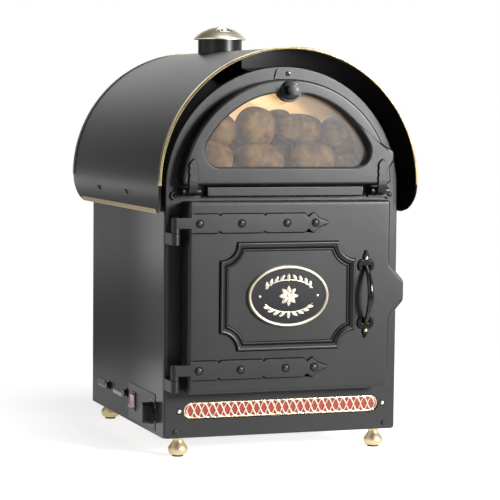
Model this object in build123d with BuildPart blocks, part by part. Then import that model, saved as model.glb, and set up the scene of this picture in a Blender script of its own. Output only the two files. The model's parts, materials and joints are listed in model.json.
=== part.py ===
from build123d import *
from math import asin, cos, degrees, pi, radians, sin, sqrt
import os

os.makedirs("parts", exist_ok=True)

# Counter-top baked potato oven: a cast front plate with an arched display
# chamber above a square oven, under a barrel canopy with a short chimney.
# Millimetres. Z = 0 is the counter, X = 0 the middle, the front faces -Y.
# Depths named *_Y are measured back from the front plate's face.

# ---------------------------------------------------------------- body
BODY_W = 456.0            # width of the front plate
BODY_D = 499.0            # front plate's face to the back of the rear panel
LEG_H = 35.5              # counter to the underside of the body
ARCH_Z = 487.0            # height of the arch centre
PLATE_HW = BODY_W / 2
PLATE_T = 8.0             # cast front plate
PLATE_EDGE_R = 3.0        # rolled edge of the casting
PLATE_CORNER_R = 6.0
JACKET_INSET = 1.0        # jacket stands in from the plate's edge
SHEET_T = 1.5             # jacket, liners and panels
FIT = 0.3                 # clearance between separate pieces
PIN_FIT = 0.05            # radial clearance of a pin in its hole

# ---------------------------------------------------------------- canopy
CANOPY_SIDE_GAP = 22.0    # canopy stands out from the plate's edge
CANOPY_RISE = 11.0        # canopy centre above the arch centre
CANOPY_T = 1.6
CANOPY_FRONT = 41.0       # overhang before the plate's face
CANOPY_REAR = 74.0        # overhang behind the rear panel
CANOPY_DROP = 52.0        # depth of the inward curl below the centre
CANOPY_CURL_R = 140.0
CANOPY_CORNER_R = 47.0    # rounded lower corners, seen from the side
TRIM_T = 1.2              # brass edge channel
TRIM_W = 12.0
TRIM_FIT = 0.1
STRIP_H = 10.0            # brass strip along the lower edge
CANOPY_SCREW_INSET = (313.5, 121.5)   # from the back of the body
CANOPY_SCREW_Y = [BODY_D - inset for inset in CANOPY_SCREW_INSET]
CANOPY_SCREW_DROP = 20.0  # screws below the canopy centre

# ---------------------------------------------------------------- chimney
CHIMNEY_R = 44.0
CHIMNEY_INSET = 125.0     # from the back of the body
CHIMNEY_Y = BODY_D - CHIMNEY_INSET
CHIMNEY_RISE = 27.0       # tube above the canopy's crown
COLLAR_W = 7.0
COLLAR_T = 2.0
CAP_R = 52.0
CAP_H = 23.0
CAP_T = 1.5
CAP_OVERLAP = 2.0         # tube end hidden under the cap's rim
VENT_COUNT = 3
VENT_L = 34.0
VENT_W = 20.0
VENT_AT_R = 27.0
VENT_GAP = 0.6            # between the cap and the shutter under it
VENT_REST_TURN = 12.0     # shutter's slots lie this far round from the cap's
SHUTTER_SKIRT = 12.0
CAP_PIVOT_R = 4.0
CAP_PIVOT_L = 9.0

# ---------------------------------------------------------------- feet
FOOT_INSET = 34.0         # feet in from the sides
FOOT_X = PLATE_HW - FOOT_INSET
FOOT_FRONT_Y = 21.0
FOOT_REAR_INSET = 16.0
FOOT_REAR_Y = BODY_D - FOOT_REAR_INSET
FOOT_BALL_R = 18.2
FOOT_BALL_Z = 13.5
FOOT_NECK_R = 9.2
FOOT_TOP_R = 10.4
FOOT_TOP_H = 1.5
FOOT_NECK_H = 5.0        # middle of the waist, below the body
FOOT_BASE_R = 11.0
STUD_R = 4.0
STUD_L = 9.0
PAD_T = 3.0
PAD_R = 10.5

# ---------------------------------------------------------------- oven chamber
OVEN_SIDE = 56.0          # oven's mouth in from the plate's edge
OVEN_W = BODY_W - 2 * OVEN_SIDE
OVEN_Z0 = 140.0
OVEN_DROP = 35.0          # oven's mouth below the arch centre
OVEN_Z1 = ARCH_Z - OVEN_DROP
OVEN_REAR_GAP = 69.0      # room for wool and wiring behind the oven
OVEN_BACK_Y = BODY_D - OVEN_REAR_GAP
OVEN_CORNER_R = 10.0
FLANGE_W = 12.0
INSULATION_T = 26.0
RACK_ROD_R = 2.5
RACK_PITCH = 28.0
RACK_FRONT_Y = 24.0
RACK_REAR_GAP = 26.0
RACK_BACK_Y = OVEN_BACK_Y - RACK_REAR_GAP
RACK_SHARE = (0.295, 0.628)   # rack heights as shares of the oven's height
LEDGE_W = 9.0
RUNNER_MARGIN = 14.0      # runner sheet stops this far from floor and roof
ELEMENT_R = 4.0
ELEMENT_MARGIN_X = 42.0
ELEMENT_FRONT_Y = 60.0
ELEMENT_LIFT = 22.0       # element above the floor, or below the roof
ELEMENT_BEND_R = 26.0
ELEMENT_LEG_X = 30.0
ELEMENT_TAIL = 34.0       # terminal length behind the oven's back wall

# ---------------------------------------------------------------- display chamber
DISPLAY_SIDE = 46.0       # chamber in from the plate's edge
DISPLAY_R = PLATE_HW - DISPLAY_SIDE
DISPLAY_RISE = 16.5       # chamber's floor above the arch centre
DISPLAY_Z0 = ARCH_Z + DISPLAY_RISE
DISPLAY_CORNER_R = 16.0
DISPLAY_FLOOR_H = 11.5
FLOOR_HOLE_R = 5.0
LAMP_RISE = 113.0
LAMP_Z = ARCH_Z + LAMP_RISE
LAMP_R = 13.0
LAMP_L = 34.0
LAMP_HOLDER_R = 15.0
LAMP_HOLDER_L = 18.0

# ---------------------------------------------------------------- display door
DDOOR_SIDE = 24.0         # cast frame in from the plate's edge
DDOOR_R = PLATE_HW - DDOOR_SIDE
DDOOR_RISE = 11.3         # door's foot above the arch centre
DDOOR_Z0 = ARCH_Z + DDOOR_RISE
DDOOR_DEPTH = 29.0        # face in front of the plate
DDOOR_CORNER_R = 9.0
DDOOR_WALL = 6.0
DDOOR_FACE_T = 16.0       # deep wall round the window
DOOR_EDGE_R = 5.0
DOOR_PLATE_GAP = 2.0      # skirt to plate
FRAME_W = 24.0            # cast frame beside the window
WINDOW_R = DDOOR_R - FRAME_W
SILL_H = 31.7             # cast frame under the window
WINDOW_Z0 = DDOOR_Z0 + SILL_H
WINDOW_CORNER_R = 30.0
WINDOW_LIP = 2.6          # sloping lip of the window
LOBE_R = 22.0
LOBE_BLEND_R = 12.0
GLASS_T = 4.0
GLASS_LAP = 8.0
RETAINER_W = 9.0
RETAINER_T = 2.0
LUG_W = 5.0               # finger lug on the right of the display door
LUG_OUT = DDOOR_R + LUG_W
LUG_RISE = 42.5
LUG_H = 40.5
LUG_Z0 = ARCH_Z + LUG_RISE
LUG_Z1 = LUG_Z0 + LUG_H
KNOB_DROP = 20.0          # knob below the crown of the display door
KNOB_Z = ARCH_Z + DDOOR_R - KNOB_DROP
KNOB_R = 11.0
KNOB_REACH = 51.0         # ball centre in front of the plate
KNOB_STEM_R = 4.5
KNOB_ROSE_R = 19.0
KNOB_ROSE_T = 5.0
KNOB_SHANK_R = 3.0
KNOB_SHANK_L = 23.0       # through the frame and the glass retainer

DHINGE_INSET = 20.0       # middle of each display-door strap
DHINGE_X = DDOOR_R - DHINGE_INSET
DHINGE_Y = 17.0           # pin in front of the plate
DHINGE_DROP = 0.5
DHINGE_Z = ARCH_Z - DHINGE_DROP
DHINGE_R = 7.0
DPIN_R = 3.0
DSTRAP_W = 17.0
DSTRAP_T = 4.0
DSTRAP_L = 59.0           # from the pin to the spear's tip
DSTRAP_TIP_Z = DHINGE_Z + DSTRAP_L
DSTRAP_SCALLOP = 1.8      # depth of the scallops in the strap's sides
DSTRAP_HEAD = 14.0        # height of the spear head
DLUG_T = 8.0
DLUG_GAP = 0.7
DARM_DROP = 12.0
DARM_Z0 = DHINGE_Z - DARM_DROP
DARM_T = 7.5
BOSS_INSET = 18.3
BOSS_DROP = 7.5           # below the pin
BOSS_X = PLATE_HW - BOSS_INSET
BOSS_Z = DHINGE_Z - BOSS_DROP
BOSS_R = 8.0
BOSS_T = 5.0

RAIL_GAP = 31.5           # raised rail stops this far from the straps' middles
RAIL_DROP = 10.3
RAIL_RISE = 8.2
RAIL_W = 2 * (DHINGE_X - RAIL_GAP)
RAIL_Z0 = ARCH_Z - RAIL_DROP
RAIL_Z1 = ARCH_Z + RAIL_RISE
RAIL_T = 15.0
RAIL_EDGE_R = 2.5

# ---------------------------------------------------------------- oven door
ODOOR_SIDE = 32.0         # door in from the plate's edge
ODOOR_W = BODY_W - 2 * ODOOR_SIDE
ODOOR_LAP_LOW = 18.5      # door beyond the oven's mouth, below and above
ODOOR_LAP_TOP = 17.4
ODOOR_Z0 = OVEN_Z0 - ODOOR_LAP_LOW
ODOOR_Z1 = OVEN_Z1 + ODOOR_LAP_TOP
ODOOR_DEPTH = 44.0
ODOOR_CORNER_R = 6.0
ODOOR_WALL = 6.0
EAR_RISE = 5.5            # above the door's middle
EAR_Z = (ODOOR_Z0 + ODOOR_Z1) / 2 + EAR_RISE
EAR_H = 100.0
EAR_FLAT = 37.0
EAR_OUT = 28.5
EAR_R = 14.0
LINING_SET = 3.0          # lining's flange in front of the plate
PAN_DEPTH = 9.0
PAN_MARGIN = 13.0         # pan inside the oven opening
SEAL_W = 8.0
SEAL_INSET = 15.0         # seal's middle line inside the door's edge
MOULD_W = 262.0
MOULD_MARGIN = 75.5       # door above and below the moulding
MOULD_H = ODOOR_Z1 - ODOOR_Z0 - 2 * MOULD_MARGIN
MOULD_X = -6.0
MOULD_RISE = 1.2          # above the door's middle
MOULD_Z = (ODOOR_Z0 + ODOOR_Z1) / 2 + MOULD_RISE
MOULD_SCOOP_R = 33.0
MOULD_RIDGE_W = 7.0       # outer ridge, then the hollow, then the inner bead
MOULD_RIDGE_T = 5.0
MOULD_HOLLOW_W = 4.0
MOULD_HOLLOW_T = 1.6
MOULD_BEAD_W = 4.5
MOULD_BEAD_T = 3.0
MOULD_EDGE = 1.4          # sloping edges of ridge and bead
OVAL_W = 156.0
OVAL_H = 112.0
OVAL_T = 5.0
OVAL_RIM_W = 5.5
OVAL_RIM_T = 3.0
OVAL_FIT = 0.2
OVAL_RIVET_X = 56.0
OVAL_RIVET_R = 2.6
PETAL_COUNT = 8
PETAL_L = 21.0
PETAL_W = 9.0
PETAL_T = 2.5
ROSETTE_R = 6.0

OHINGE_GAP = 24.0         # vertical hinge line, left of the oven door
OHINGE_X = ODOOR_W / 2 + OHINGE_GAP
STRAP_RISE = 43.0
STRAP_DROP = 39.4
STRAP_Z = (ODOOR_Z0 + STRAP_RISE, ODOOR_Z1 - STRAP_DROP)
STRAP_H = 34.0
STRAP_T = 4.0
STRAP_X0 = -ODOOR_W / 2   # the strap's lengths run from the door's left edge
STRAP_L = 268.0
STRAP_TIP_X = STRAP_X0 + STRAP_L
STRAP_NOTCH_AT = (57.0, 143.0)
STRAP_NOTCH_X = [STRAP_X0 + at for at in STRAP_NOTCH_AT]
STRAP_NOTCH = 4.0
BULB_NECK_AT = 228.0
BULB_NECK_X = STRAP_X0 + BULB_NECK_AT
BULB_NECK_H = 22.0
BULB_L = 23.0
STRAP_NECK_H = 20.0
KNUCKLE_R = 7.5
KNUCKLE_BELOW = 17.0
KNUCKLE_ABOVE = 11.0
OPIN_R = 3.5
OLUG_H = 21.0
RIVET_AT = (19.0, 98.5, 185.5, 241.0)
RIVET_X = [STRAP_X0 + at for at in RIVET_AT]
RIVET_R = 6.5
RIVET_H = 3.5
RIVET_SHANK_R = 2.5

HANDLE_GAP = 22.0         # handle's middle beyond the moulding
HANDLE_X = MOULD_X + MOULD_W / 2 + HANDLE_GAP
HANDLE_Z = MOULD_Z
HANDLE_SPAN = 104.0       # between the bar's two roots
HANDLE_BOW = 26.2         # bar's middle line in front of the door's face
HANDLE_R = 6.0
HANDLE_END_R = 4.2
FITTING_T = 4.0
FITTING_W = 32.0
FITTING_L = 30.0
FITTING_SCREW = 15.0      # screw beyond the bar's root

# ---------------------------------------------------------------- grille
GRILLE_SIDE = 4.5         # grille in from the door's edges
GRILLE_W = ODOOR_W - 2 * GRILLE_SIDE
GRILLE_H = 29.0
GRILLE_X = 2.5
GRILLE_DROP = 36.3        # grille's middle below the oven door
GRILLE_Z = ODOOR_Z0 - GRILLE_DROP
GRILLE_SET = 3.0          # grille behind the plate's face
GRILLE_T = 1.5
GRILLE_LAP = 8.0          # grille's rim behind the mouth, above and below
GRILLE_END_LAP = 13.0     # and at its ends
GRILLE_BEVEL = 1.5
GRILLE_CELLS = 26
GRILLE_BORDER = 5.6       # metal left at each end of the row of eyes
EYE_W = 11.0
EYE_H = 23.0
SPANDREL_W = 8.4
SPANDREL_H = 6.5
SPANDREL_TOP = 11.3       # above and below the row's middle
BACKING_T = 1.0
GRILLE_SCREW_GAP = 9.1
GRILLE_SCREW_X = GRILLE_W / 2 + GRILLE_SCREW_GAP

# ---------------------------------------------------------------- screws
BOLT_INSET = 22.0
BOLT_RISE = 11.5
BOLT_X = PLATE_HW - BOLT_INSET
BOLT_Z = LEG_H + BOLT_RISE
BOLT_R = 5.0
BOLT_H = 3.0
BOLT_SHANK_R = 2.5
BOLT_SHANK_L = 6.0
SMALL_HEAD_R = 3.6
SMALL_HEAD_H = 2.0
SMALL_SHANK_R = 1.8

# ---------------------------------------------------------------- side controls
PANEL_Y0 = 55.0
PANEL_Y1 = 230.0
PANEL_RISE = 6.5
PANEL_H = 68.0
PANEL_Z0 = LEG_H + PANEL_RISE
PANEL_Z1 = PANEL_Z0 + PANEL_H
PANEL_T = 1.0
DIAL_Y = 77.0
DIAL_UP = 31.0            # above the control plate's foot
DIAL_Z = PANEL_Z0 + DIAL_UP
DIAL_R = 20.5
DIAL_T = 4.0
GRIP_W = 13.0
GRIP_H = 15.0
GRIP_INSET = 0.5          # ends of the grip inside the disc
GRIP_EDGE_R = 2.5
DIAL_LIFT = 0.5
SHAFT_R = 3.0
SHAFT_L = 22.0
THERMOSTAT_W = 44.0
THERMOSTAT_H = 52.0
THERMOSTAT_D = 34.0
ROCKER_Y = 194.0
ROCKER_UP = 36.0
ROCKER_Z = PANEL_Z0 + ROCKER_UP
ROCKER_L = 25.0
ROCKER_W = 17.0
ROCKER_ROOT = 5.5         # rocker's flat back, inside its pivot
ROCKER_RISE = 8.5         # tips of its hollow face, outside the pivot
ROCKER_TAPER = 2.0
ROCKER_DIP = 3.0
ROCKER_TILT = 10.0
ROCKER_PIVOT = 1.0        # pivot outside the wall
BEZEL_L = 35.0
BEZEL_W = 24.0
BEZEL_T = 2.0
HOUSING_D = 26.0
BUTTON_REAR_GAP = 126.0
BUTTON_Y = (248.0, BODY_D - BUTTON_REAR_GAP)
BUTTON_UP = (44.5, 42.0)
BUTTON_Z = [PANEL_Z0 + up for up in BUTTON_UP]
BUTTON_R = 6.5
BUTTON_OUT = 7.0
BUTTON_IN = 10.0
BUTTON_TRAVEL = 3.0
BUTTON_EDGE_R = 1.2
COLLET_R = 9.0
COLLET_T = 2.0
COLLET_BODY_R = 7.8
COLLET_BODY_L = 16.0
LABEL_T = 1.0
LABEL_GAP = 30.0          # from a button's middle to its label
LABEL_END_GAP = (31.0, 46.0)     # each label ends this far short of what is behind it
LABEL_H = (7.0, 15.0)
LABEL_DROP = (8.5, 1.0)   # label's middle below the button's

# ---------------------------------------------------------------- rear and base
TRAY_T = 2.0
TRAY_LIP = 10.0
TRAY_SLOT_L = 60.0
TRAY_SLOT_W = 8.0
LOUVRE_L = 70.0
LOUVRE_W = 6.0
LOUVRE_PITCH = 16.0
LOUVRE_ROWS = 5
LOUVRE_X = 90.0
LOUVRE_RISE = 73.0
LOUVRE_Z = ARCH_Z + LOUVRE_RISE
REAR_SCREW_INSET = 12.0
GLAND_INSET = 78.0
GLAND_RISE = 42.5
GLAND_X = PLATE_HW - GLAND_INSET
GLAND_Z = LEG_H + GLAND_RISE
GLAND_R = 11.0
GLAND_BORE_R = 4.5
GLAND_OUT = 18.0
GLAND_IN = 10.0
TERMINAL_W = 66.0
TERMINAL_D = 22.0
TERMINAL_H = 20.0
TERMINAL_INSET = 99.0
TERMINAL_Y = BODY_D - TERMINAL_INSET
TERMINAL_X = 90.0
TERMINALS = 5
TERMINAL_SHARE = 0.7      # share of each way that is open
TERMINAL_SINK = 8.0

# ---------------------------------------------------------------- worked out
JACKET_HW = PLATE_HW - JACKET_INSET
CANOPY_R = PLATE_HW + CANOPY_SIDE_GAP
CANOPY_Z = ARCH_Z + CANOPY_RISE
FRONT_REACH = max(ODOOR_DEPTH + HANDLE_BOW + HANDLE_R, KNOB_REACH + KNOB_R)
REAR_REACH = BODY_D + CANOPY_REAR + TRIM_T
PLATE_Y = (FRONT_REACH - REAR_REACH) / 2
REAR_IN_Y = BODY_D - SHEET_T
OHINGE_Y = ODOOR_DEPTH + STRAP_T - KNUCKLE_R
OVEN_MID_Z = (OVEN_Z0 + OVEN_Z1) / 2
OVEN_H = OVEN_Z1 - OVEN_Z0
RACK_Z = [OVEN_Z0 + share * OVEN_H for share in RACK_SHARE]
CAP_Z = CANOPY_Z + CANOPY_R + CHIMNEY_RISE
CAP_SPHERE_R = (CAP_R**2 + CAP_H**2) / (2 * CAP_H)
CHIMNEY_IN_R = CHIMNEY_R - SHEET_T


def facing(y):
    """Upright plane that faces the front, y behind the plate's face."""
    return Plane.XZ.offset(-(PLATE_Y + y))


def wall(out):
    """Plane of the left wall, out from its outer face; sketches are (Y, Z)."""
    return Plane.YZ.offset(-(JACKET_HW + out))


def arched_panel(radius, base_z):
    """Half round about the arch centre with straight legs down to base_z."""
    with BuildSketch() as outline:
        with BuildLine():
            Line((-radius, ARCH_Z), (-radius, base_z))
            Line((-radius, base_z), (radius, base_z))
            Line((radius, base_z), (radius, ARCH_Z))
            ThreePointArc((radius, ARCH_Z), (0, ARCH_Z + radius), (-radius, ARCH_Z))
        make_face()
    return outline.sketch


def arch_segment(radius, base_z, corner_r):
    """Part of a disc about the arch centre that lies above base_z."""
    half = sqrt(radius**2 - (base_z - ARCH_Z) ** 2)
    with BuildSketch() as outline:
        with BuildLine():
            ThreePointArc((half, base_z), (0, ARCH_Z + radius), (-half, base_z))
            Line((-half, base_z), (half, base_z))
        make_face()
        fillet(outline.vertices(), corner_r)
    return outline.sketch


def domed_screw(head_r, head_h, shank_r, shank_l):
    """Screw along Y with its head towards the front and seated at the origin."""
    with BuildPart() as screw:
        with BuildSketch(Plane.XY):
            with BuildLine():
                Polyline((0, shank_l), (shank_r, shank_l), (shank_r, 0), (head_r, 0))
                dome_r = (head_r**2 + head_h**2) / (2 * head_h)
                half_lean = asin(head_r / dome_r) / 2
                shoulder = (dome_r * sin(half_lean), dome_r - head_h - dome_r * cos(half_lean))
                ThreePointArc((head_r, 0), shoulder, (0, -head_h))
                Line((0, -head_h), (0, shank_l))
            make_face()
        revolve(axis=Axis.Y)
    return screw.part


def place(points):
    """Points (x, depth behind the plate's face, z) as places in the model."""
    return [(x, PLATE_Y + y, z) for x, y, z in points]


def finish(piece, name):
    """Label a finished piece and write its file."""
    piece.part.label = name
    export_step(piece.part, f"parts/{name}.step")


# ================================================================ front plate
BOLT_POINTS = [(-BOLT_X, BOLT_Z), (BOLT_X, BOLT_Z)]
GRILLE_SCREW_POINTS = [(GRILLE_X + side * GRILLE_SCREW_X, GRILLE_Z) for side in (-1, 1)]
BOSS_POINTS = [(-BOSS_X, BOSS_Z), (BOSS_X, BOSS_Z)]
MAGNET_R = 4.0
MAGNET_L = 5.0
MAGNET_X = ODOOR_W / 2 - MAGNET_R - 1.5

with BuildPart() as front_plate:
    with BuildSketch(facing(PLATE_T)) as plate_outline:
        add(arched_panel(PLATE_HW, LEG_H))
        fillet(plate_outline.vertices().sort_by(Axis.Y)[:2], PLATE_CORNER_R)
    extrude(amount=PLATE_T)
    fillet(front_plate.faces().sort_by(Axis.Y)[0].edges(), PLATE_EDGE_R)
    with BuildSketch(facing(PLATE_T)):
        with Locations((0, OVEN_MID_Z)):
            RectangleRounded(OVEN_W, OVEN_H, OVEN_CORNER_R)
        add(arch_segment(DISPLAY_R, DISPLAY_Z0 + SHEET_T, DISPLAY_CORNER_R))
        with Locations((GRILLE_X, GRILLE_Z)):
            SlotOverall(GRILLE_W, GRILLE_H)
    extrude(amount=PLATE_T, mode=Mode.SUBTRACT)
    with BuildSketch(facing(PLATE_T)):
        with Locations((GRILLE_X, GRILLE_Z)):
            SlotOverall(GRILLE_W + 2 * GRILLE_END_LAP + FIT, GRILLE_H + 2 * GRILLE_LAP + FIT)
    extrude(amount=PLATE_T - GRILLE_SET, mode=Mode.SUBTRACT)
    grille_mouth = front_plate.faces().sort_by(Axis.Y)[0].edges().filter_by(
        lambda edge: abs(edge.center().Z - GRILLE_Z) < GRILLE_H
    )
    chamfer(grille_mouth, GRILLE_BEVEL)
    with BuildSketch(facing(BOLT_SHANK_L)):
        with Locations(*BOLT_POINTS, *BOSS_POINTS):
            Circle(BOLT_SHANK_R + PIN_FIT)
    extrude(amount=BOLT_SHANK_L, mode=Mode.SUBTRACT)
    with BuildSketch(facing(GRILLE_SET)):
        with Locations(*GRILLE_SCREW_POINTS):
            Circle(SMALL_SHANK_R + PIN_FIT)
    extrude(amount=GRILLE_SET, mode=Mode.SUBTRACT)
    with BuildSketch(facing(MAGNET_L)):
        with Locations((MAGNET_X, MOULD_Z)):
            Circle(MAGNET_R + PIN_FIT)
    extrude(amount=MAGNET_L, mode=Mode.SUBTRACT)
finish(front_plate, "front_plate")

# Magnetic catch for the oven door and the raised catch tab of the display door.
CATCH_W = 42.0
CATCH_H = 19.0
CATCH_T = 3.0
CATCH_TAPER = 5.0
with BuildPart() as door_catches:
    with BuildSketch(facing(MAGNET_L)):
        with Locations((MAGNET_X, MOULD_Z)):
            Circle(MAGNET_R)
    extrude(amount=MAGNET_L)
    with BuildSketch(facing(0)) as tab:
        with BuildLine():
            catch_z = ARCH_Z + DDOOR_R + FIT
            Polyline(
                (-CATCH_W / 2, catch_z),
                (CATCH_W / 2, catch_z),
                (CATCH_W / 2 - CATCH_TAPER, catch_z + CATCH_H),
                (-CATCH_W / 2 + CATCH_TAPER, catch_z + CATCH_H),
                close=True,
            )
        make_face()
        fillet(tab.vertices().group_by(Axis.Y)[-1], CATCH_TAPER)
    extrude(amount=CATCH_T)
finish(door_catches, "door_catches")

# ================================================================ jacket, tray, rear
with BuildPart() as casing_jacket:
    with BuildSketch(facing(REAR_IN_Y)):
        add(arched_panel(JACKET_HW, LEG_H))
        add(arched_panel(JACKET_HW - SHEET_T, LEG_H - SHEET_T), mode=Mode.SUBTRACT)
    extrude(amount=REAR_IN_Y - PLATE_T)
    with BuildSketch(Plane.XY.offset(ARCH_Z)):
        with Locations((0, PLATE_Y + CHIMNEY_Y)):
            Circle(CHIMNEY_R + FIT)
    extrude(amount=JACKET_HW + SHEET_T, mode=Mode.SUBTRACT)
    with BuildSketch(Plane.YZ):
        with Locations(*[(PLATE_Y + y, CANOPY_Z - CANOPY_SCREW_DROP) for y in CANOPY_SCREW_Y]):
            Circle(BOLT_SHANK_R + PIN_FIT)
    extrude(amount=PLATE_HW, both=True, mode=Mode.SUBTRACT)
    with BuildSketch(wall(0)):
        with Locations((PLATE_Y + DIAL_Y, DIAL_Z)):
            Circle(SHAFT_R + 2 * FIT)
        with Locations((PLATE_Y + ROCKER_Y, ROCKER_Z)):
            Rectangle(ROCKER_W + 4 * SHEET_T + FIT, ROCKER_L + 4 * SHEET_T + FIT)
        with Locations(*[(PLATE_Y + y, z) for y, z in zip(BUTTON_Y, BUTTON_Z)]):
            Circle(COLLET_BODY_R + PIN_FIT)
    extrude(amount=SHEET_T, mode=Mode.SUBTRACT)
finish(casing_jacket, "casing_jacket")

TRAY_HW = JACKET_HW - SHEET_T - FIT
FOOT_POINTS = [(x, y) for x in (-FOOT_X, FOOT_X) for y in (FOOT_FRONT_Y, FOOT_REAR_Y)]
with BuildPart() as base_tray:
    with BuildSketch(facing(REAR_IN_Y)):
        with Locations((0, LEG_H)):
            Rectangle(2 * TRAY_HW, TRAY_LIP, align=(Align.CENTER, Align.MIN))
        with Locations((0, LEG_H + TRAY_T)):
            Rectangle(2 * (TRAY_HW - TRAY_T), TRAY_LIP, align=(Align.CENTER, Align.MIN), mode=Mode.SUBTRACT)
    extrude(amount=REAR_IN_Y - PLATE_T)
    with BuildSketch(Plane.XY.offset(LEG_H)):
        with Locations(*[(x, PLATE_Y + y) for x, y in FOOT_POINTS]):
            Circle(STUD_R + PIN_FIT)
        with Locations((0, PLATE_Y + BODY_D / 2)):
            with GridLocations(2 * TRAY_SLOT_L, 4 * TRAY_SLOT_W, 3, 4):
                SlotOverall(TRAY_SLOT_L, TRAY_SLOT_W)
    extrude(amount=TRAY_T, mode=Mode.SUBTRACT)
finish(base_tray, "base_tray")

REAR_SCREW_R = JACKET_HW - REAR_SCREW_INSET
REAR_SCREW_Z = (LEG_H + REAR_SCREW_INSET, (LEG_H + ARCH_Z) / 2, ARCH_Z)
REAR_SCREW_POINTS = [(x, z) for x in (-REAR_SCREW_R, REAR_SCREW_R) for z in REAR_SCREW_Z]
REAR_SCREW_POINTS += [
    (REAR_SCREW_R * cos(radians(turn)), ARCH_Z + REAR_SCREW_R * sin(radians(turn)))
    for turn in (45, 90, 135)
]
with BuildPart() as rear_panel:
    with BuildSketch(facing(BODY_D)):
        add(arched_panel(JACKET_HW, LEG_H))
        with Locations((-LOUVRE_X, LOUVRE_Z), (LOUVRE_X, LOUVRE_Z)):
            with GridLocations(LOUVRE_L, LOUVRE_PITCH, 1, LOUVRE_ROWS):
                SlotOverall(LOUVRE_L, LOUVRE_W, mode=Mode.SUBTRACT)
        with Locations((GLAND_X, GLAND_Z)):
            Circle(GLAND_R - SHEET_T + PIN_FIT, mode=Mode.SUBTRACT)
        with Locations(*REAR_SCREW_POINTS):
            Circle(SMALL_SHANK_R + PIN_FIT, mode=Mode.SUBTRACT)
    extrude(amount=SHEET_T)
finish(rear_panel, "rear_panel")

with BuildPart() as rear_panel_screws:
    with Locations(*[Location((x, PLATE_Y + BODY_D, z), (180, 0, 0)) for x, z in REAR_SCREW_POINTS]):
        add(domed_screw(SMALL_HEAD_R, SMALL_HEAD_H, SMALL_SHANK_R, SHEET_T))
finish(rear_panel_screws, "rear_panel_screws")

# Gland for the mains lead: nut inside, body and domed nut outside.
with BuildPart() as cable_gland:
    with BuildSketch(facing(BODY_D)):
        with Locations((GLAND_X, GLAND_Z)):
            RegularPolygon(GLAND_R, 6, major_radius=False)
    extrude(amount=-GLAND_OUT / 3)
    with BuildSketch(facing(BODY_D + GLAND_OUT / 3)):
        with Locations((GLAND_X, GLAND_Z)):
            Circle(GLAND_R - SHEET_T / 2)
    extrude(amount=-GLAND_OUT * 2 / 3, taper=14)
    with BuildSketch(facing(BODY_D)):
        with Locations((GLAND_X, GLAND_Z)):
            Circle(GLAND_R - SHEET_T)
    extrude(amount=SHEET_T + GLAND_IN)
    with BuildSketch(facing(REAR_IN_Y - FIT)):
        with Locations((GLAND_X, GLAND_Z)):
            RegularPolygon(GLAND_R, 6, major_radius=False)
    extrude(amount=GLAND_IN / 2)
    with BuildSketch(facing(BODY_D + GLAND_OUT)):
        with Locations((GLAND_X, GLAND_Z)):
            Circle(GLAND_BORE_R)
    extrude(amount=GLAND_OUT + SHEET_T + GLAND_IN, mode=Mode.SUBTRACT)
finish(cable_gland, "cable_gland")

# Terminal block on the base tray, with a raised web between the ways.
with BuildPart() as terminal_block:
    with BuildSketch(Plane.XY.offset(LEG_H + TRAY_T)):
        with Locations((TERMINAL_X, PLATE_Y + TERMINAL_Y)):
            Rectangle(TERMINAL_W, TERMINAL_D)
    extrude(amount=TERMINAL_H)
    way = TERMINAL_W / TERMINALS
    with BuildSketch(Plane.XY.offset(LEG_H + TRAY_T + TERMINAL_H)):
        with Locations((TERMINAL_X, PLATE_Y + TERMINAL_Y)):
            with GridLocations(way, TERMINAL_D, TERMINALS, 1):
                Rectangle(way * TERMINAL_SHARE, TERMINAL_D * TERMINAL_SHARE)
    extrude(amount=-TERMINAL_SINK, mode=Mode.SUBTRACT)
finish(terminal_block, "terminal_block")

# ================================================================ feet
with BuildPart() as foot_template:
    with BuildSketch(Plane.XZ):
        with BuildLine():
            Line((0, PAD_T), (FOOT_BASE_R, PAD_T))
            Spline(
                (FOOT_BASE_R, PAD_T),
                (FOOT_BALL_R, FOOT_BALL_Z),
                (FOOT_NECK_R, LEG_H - FOOT_NECK_H),
                (FOOT_TOP_R, LEG_H - FOOT_TOP_H),
                tangents=((1, 0.6), (0.4, 1)),
            )
            Polyline(
                (FOOT_TOP_R, LEG_H - FOOT_TOP_H),
                (FOOT_TOP_R, LEG_H),
                (STUD_R, LEG_H),
                (STUD_R, LEG_H + STUD_L),
                (0, LEG_H + STUD_L),
                (0, PAD_T),
            )
        make_face()
    revolve(axis=Axis.Z)

with BuildPart() as feet:
    with Locations(*[(x, PLATE_Y + y, 0) for x, y in FOOT_POINTS]):
        add(foot_template.part)
finish(feet, "feet")

with BuildPart() as foot_pads:
    with BuildSketch(Plane.XY):
        with Locations(*[(x, PLATE_Y + y) for x, y in FOOT_POINTS]):
            Circle(PAD_R)
    extrude(amount=PAD_T)
finish(foot_pads, "foot_pads")


# ================================================================ canopy
CURL = degrees(asin(CANOPY_DROP / CANOPY_CURL_R))


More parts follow.
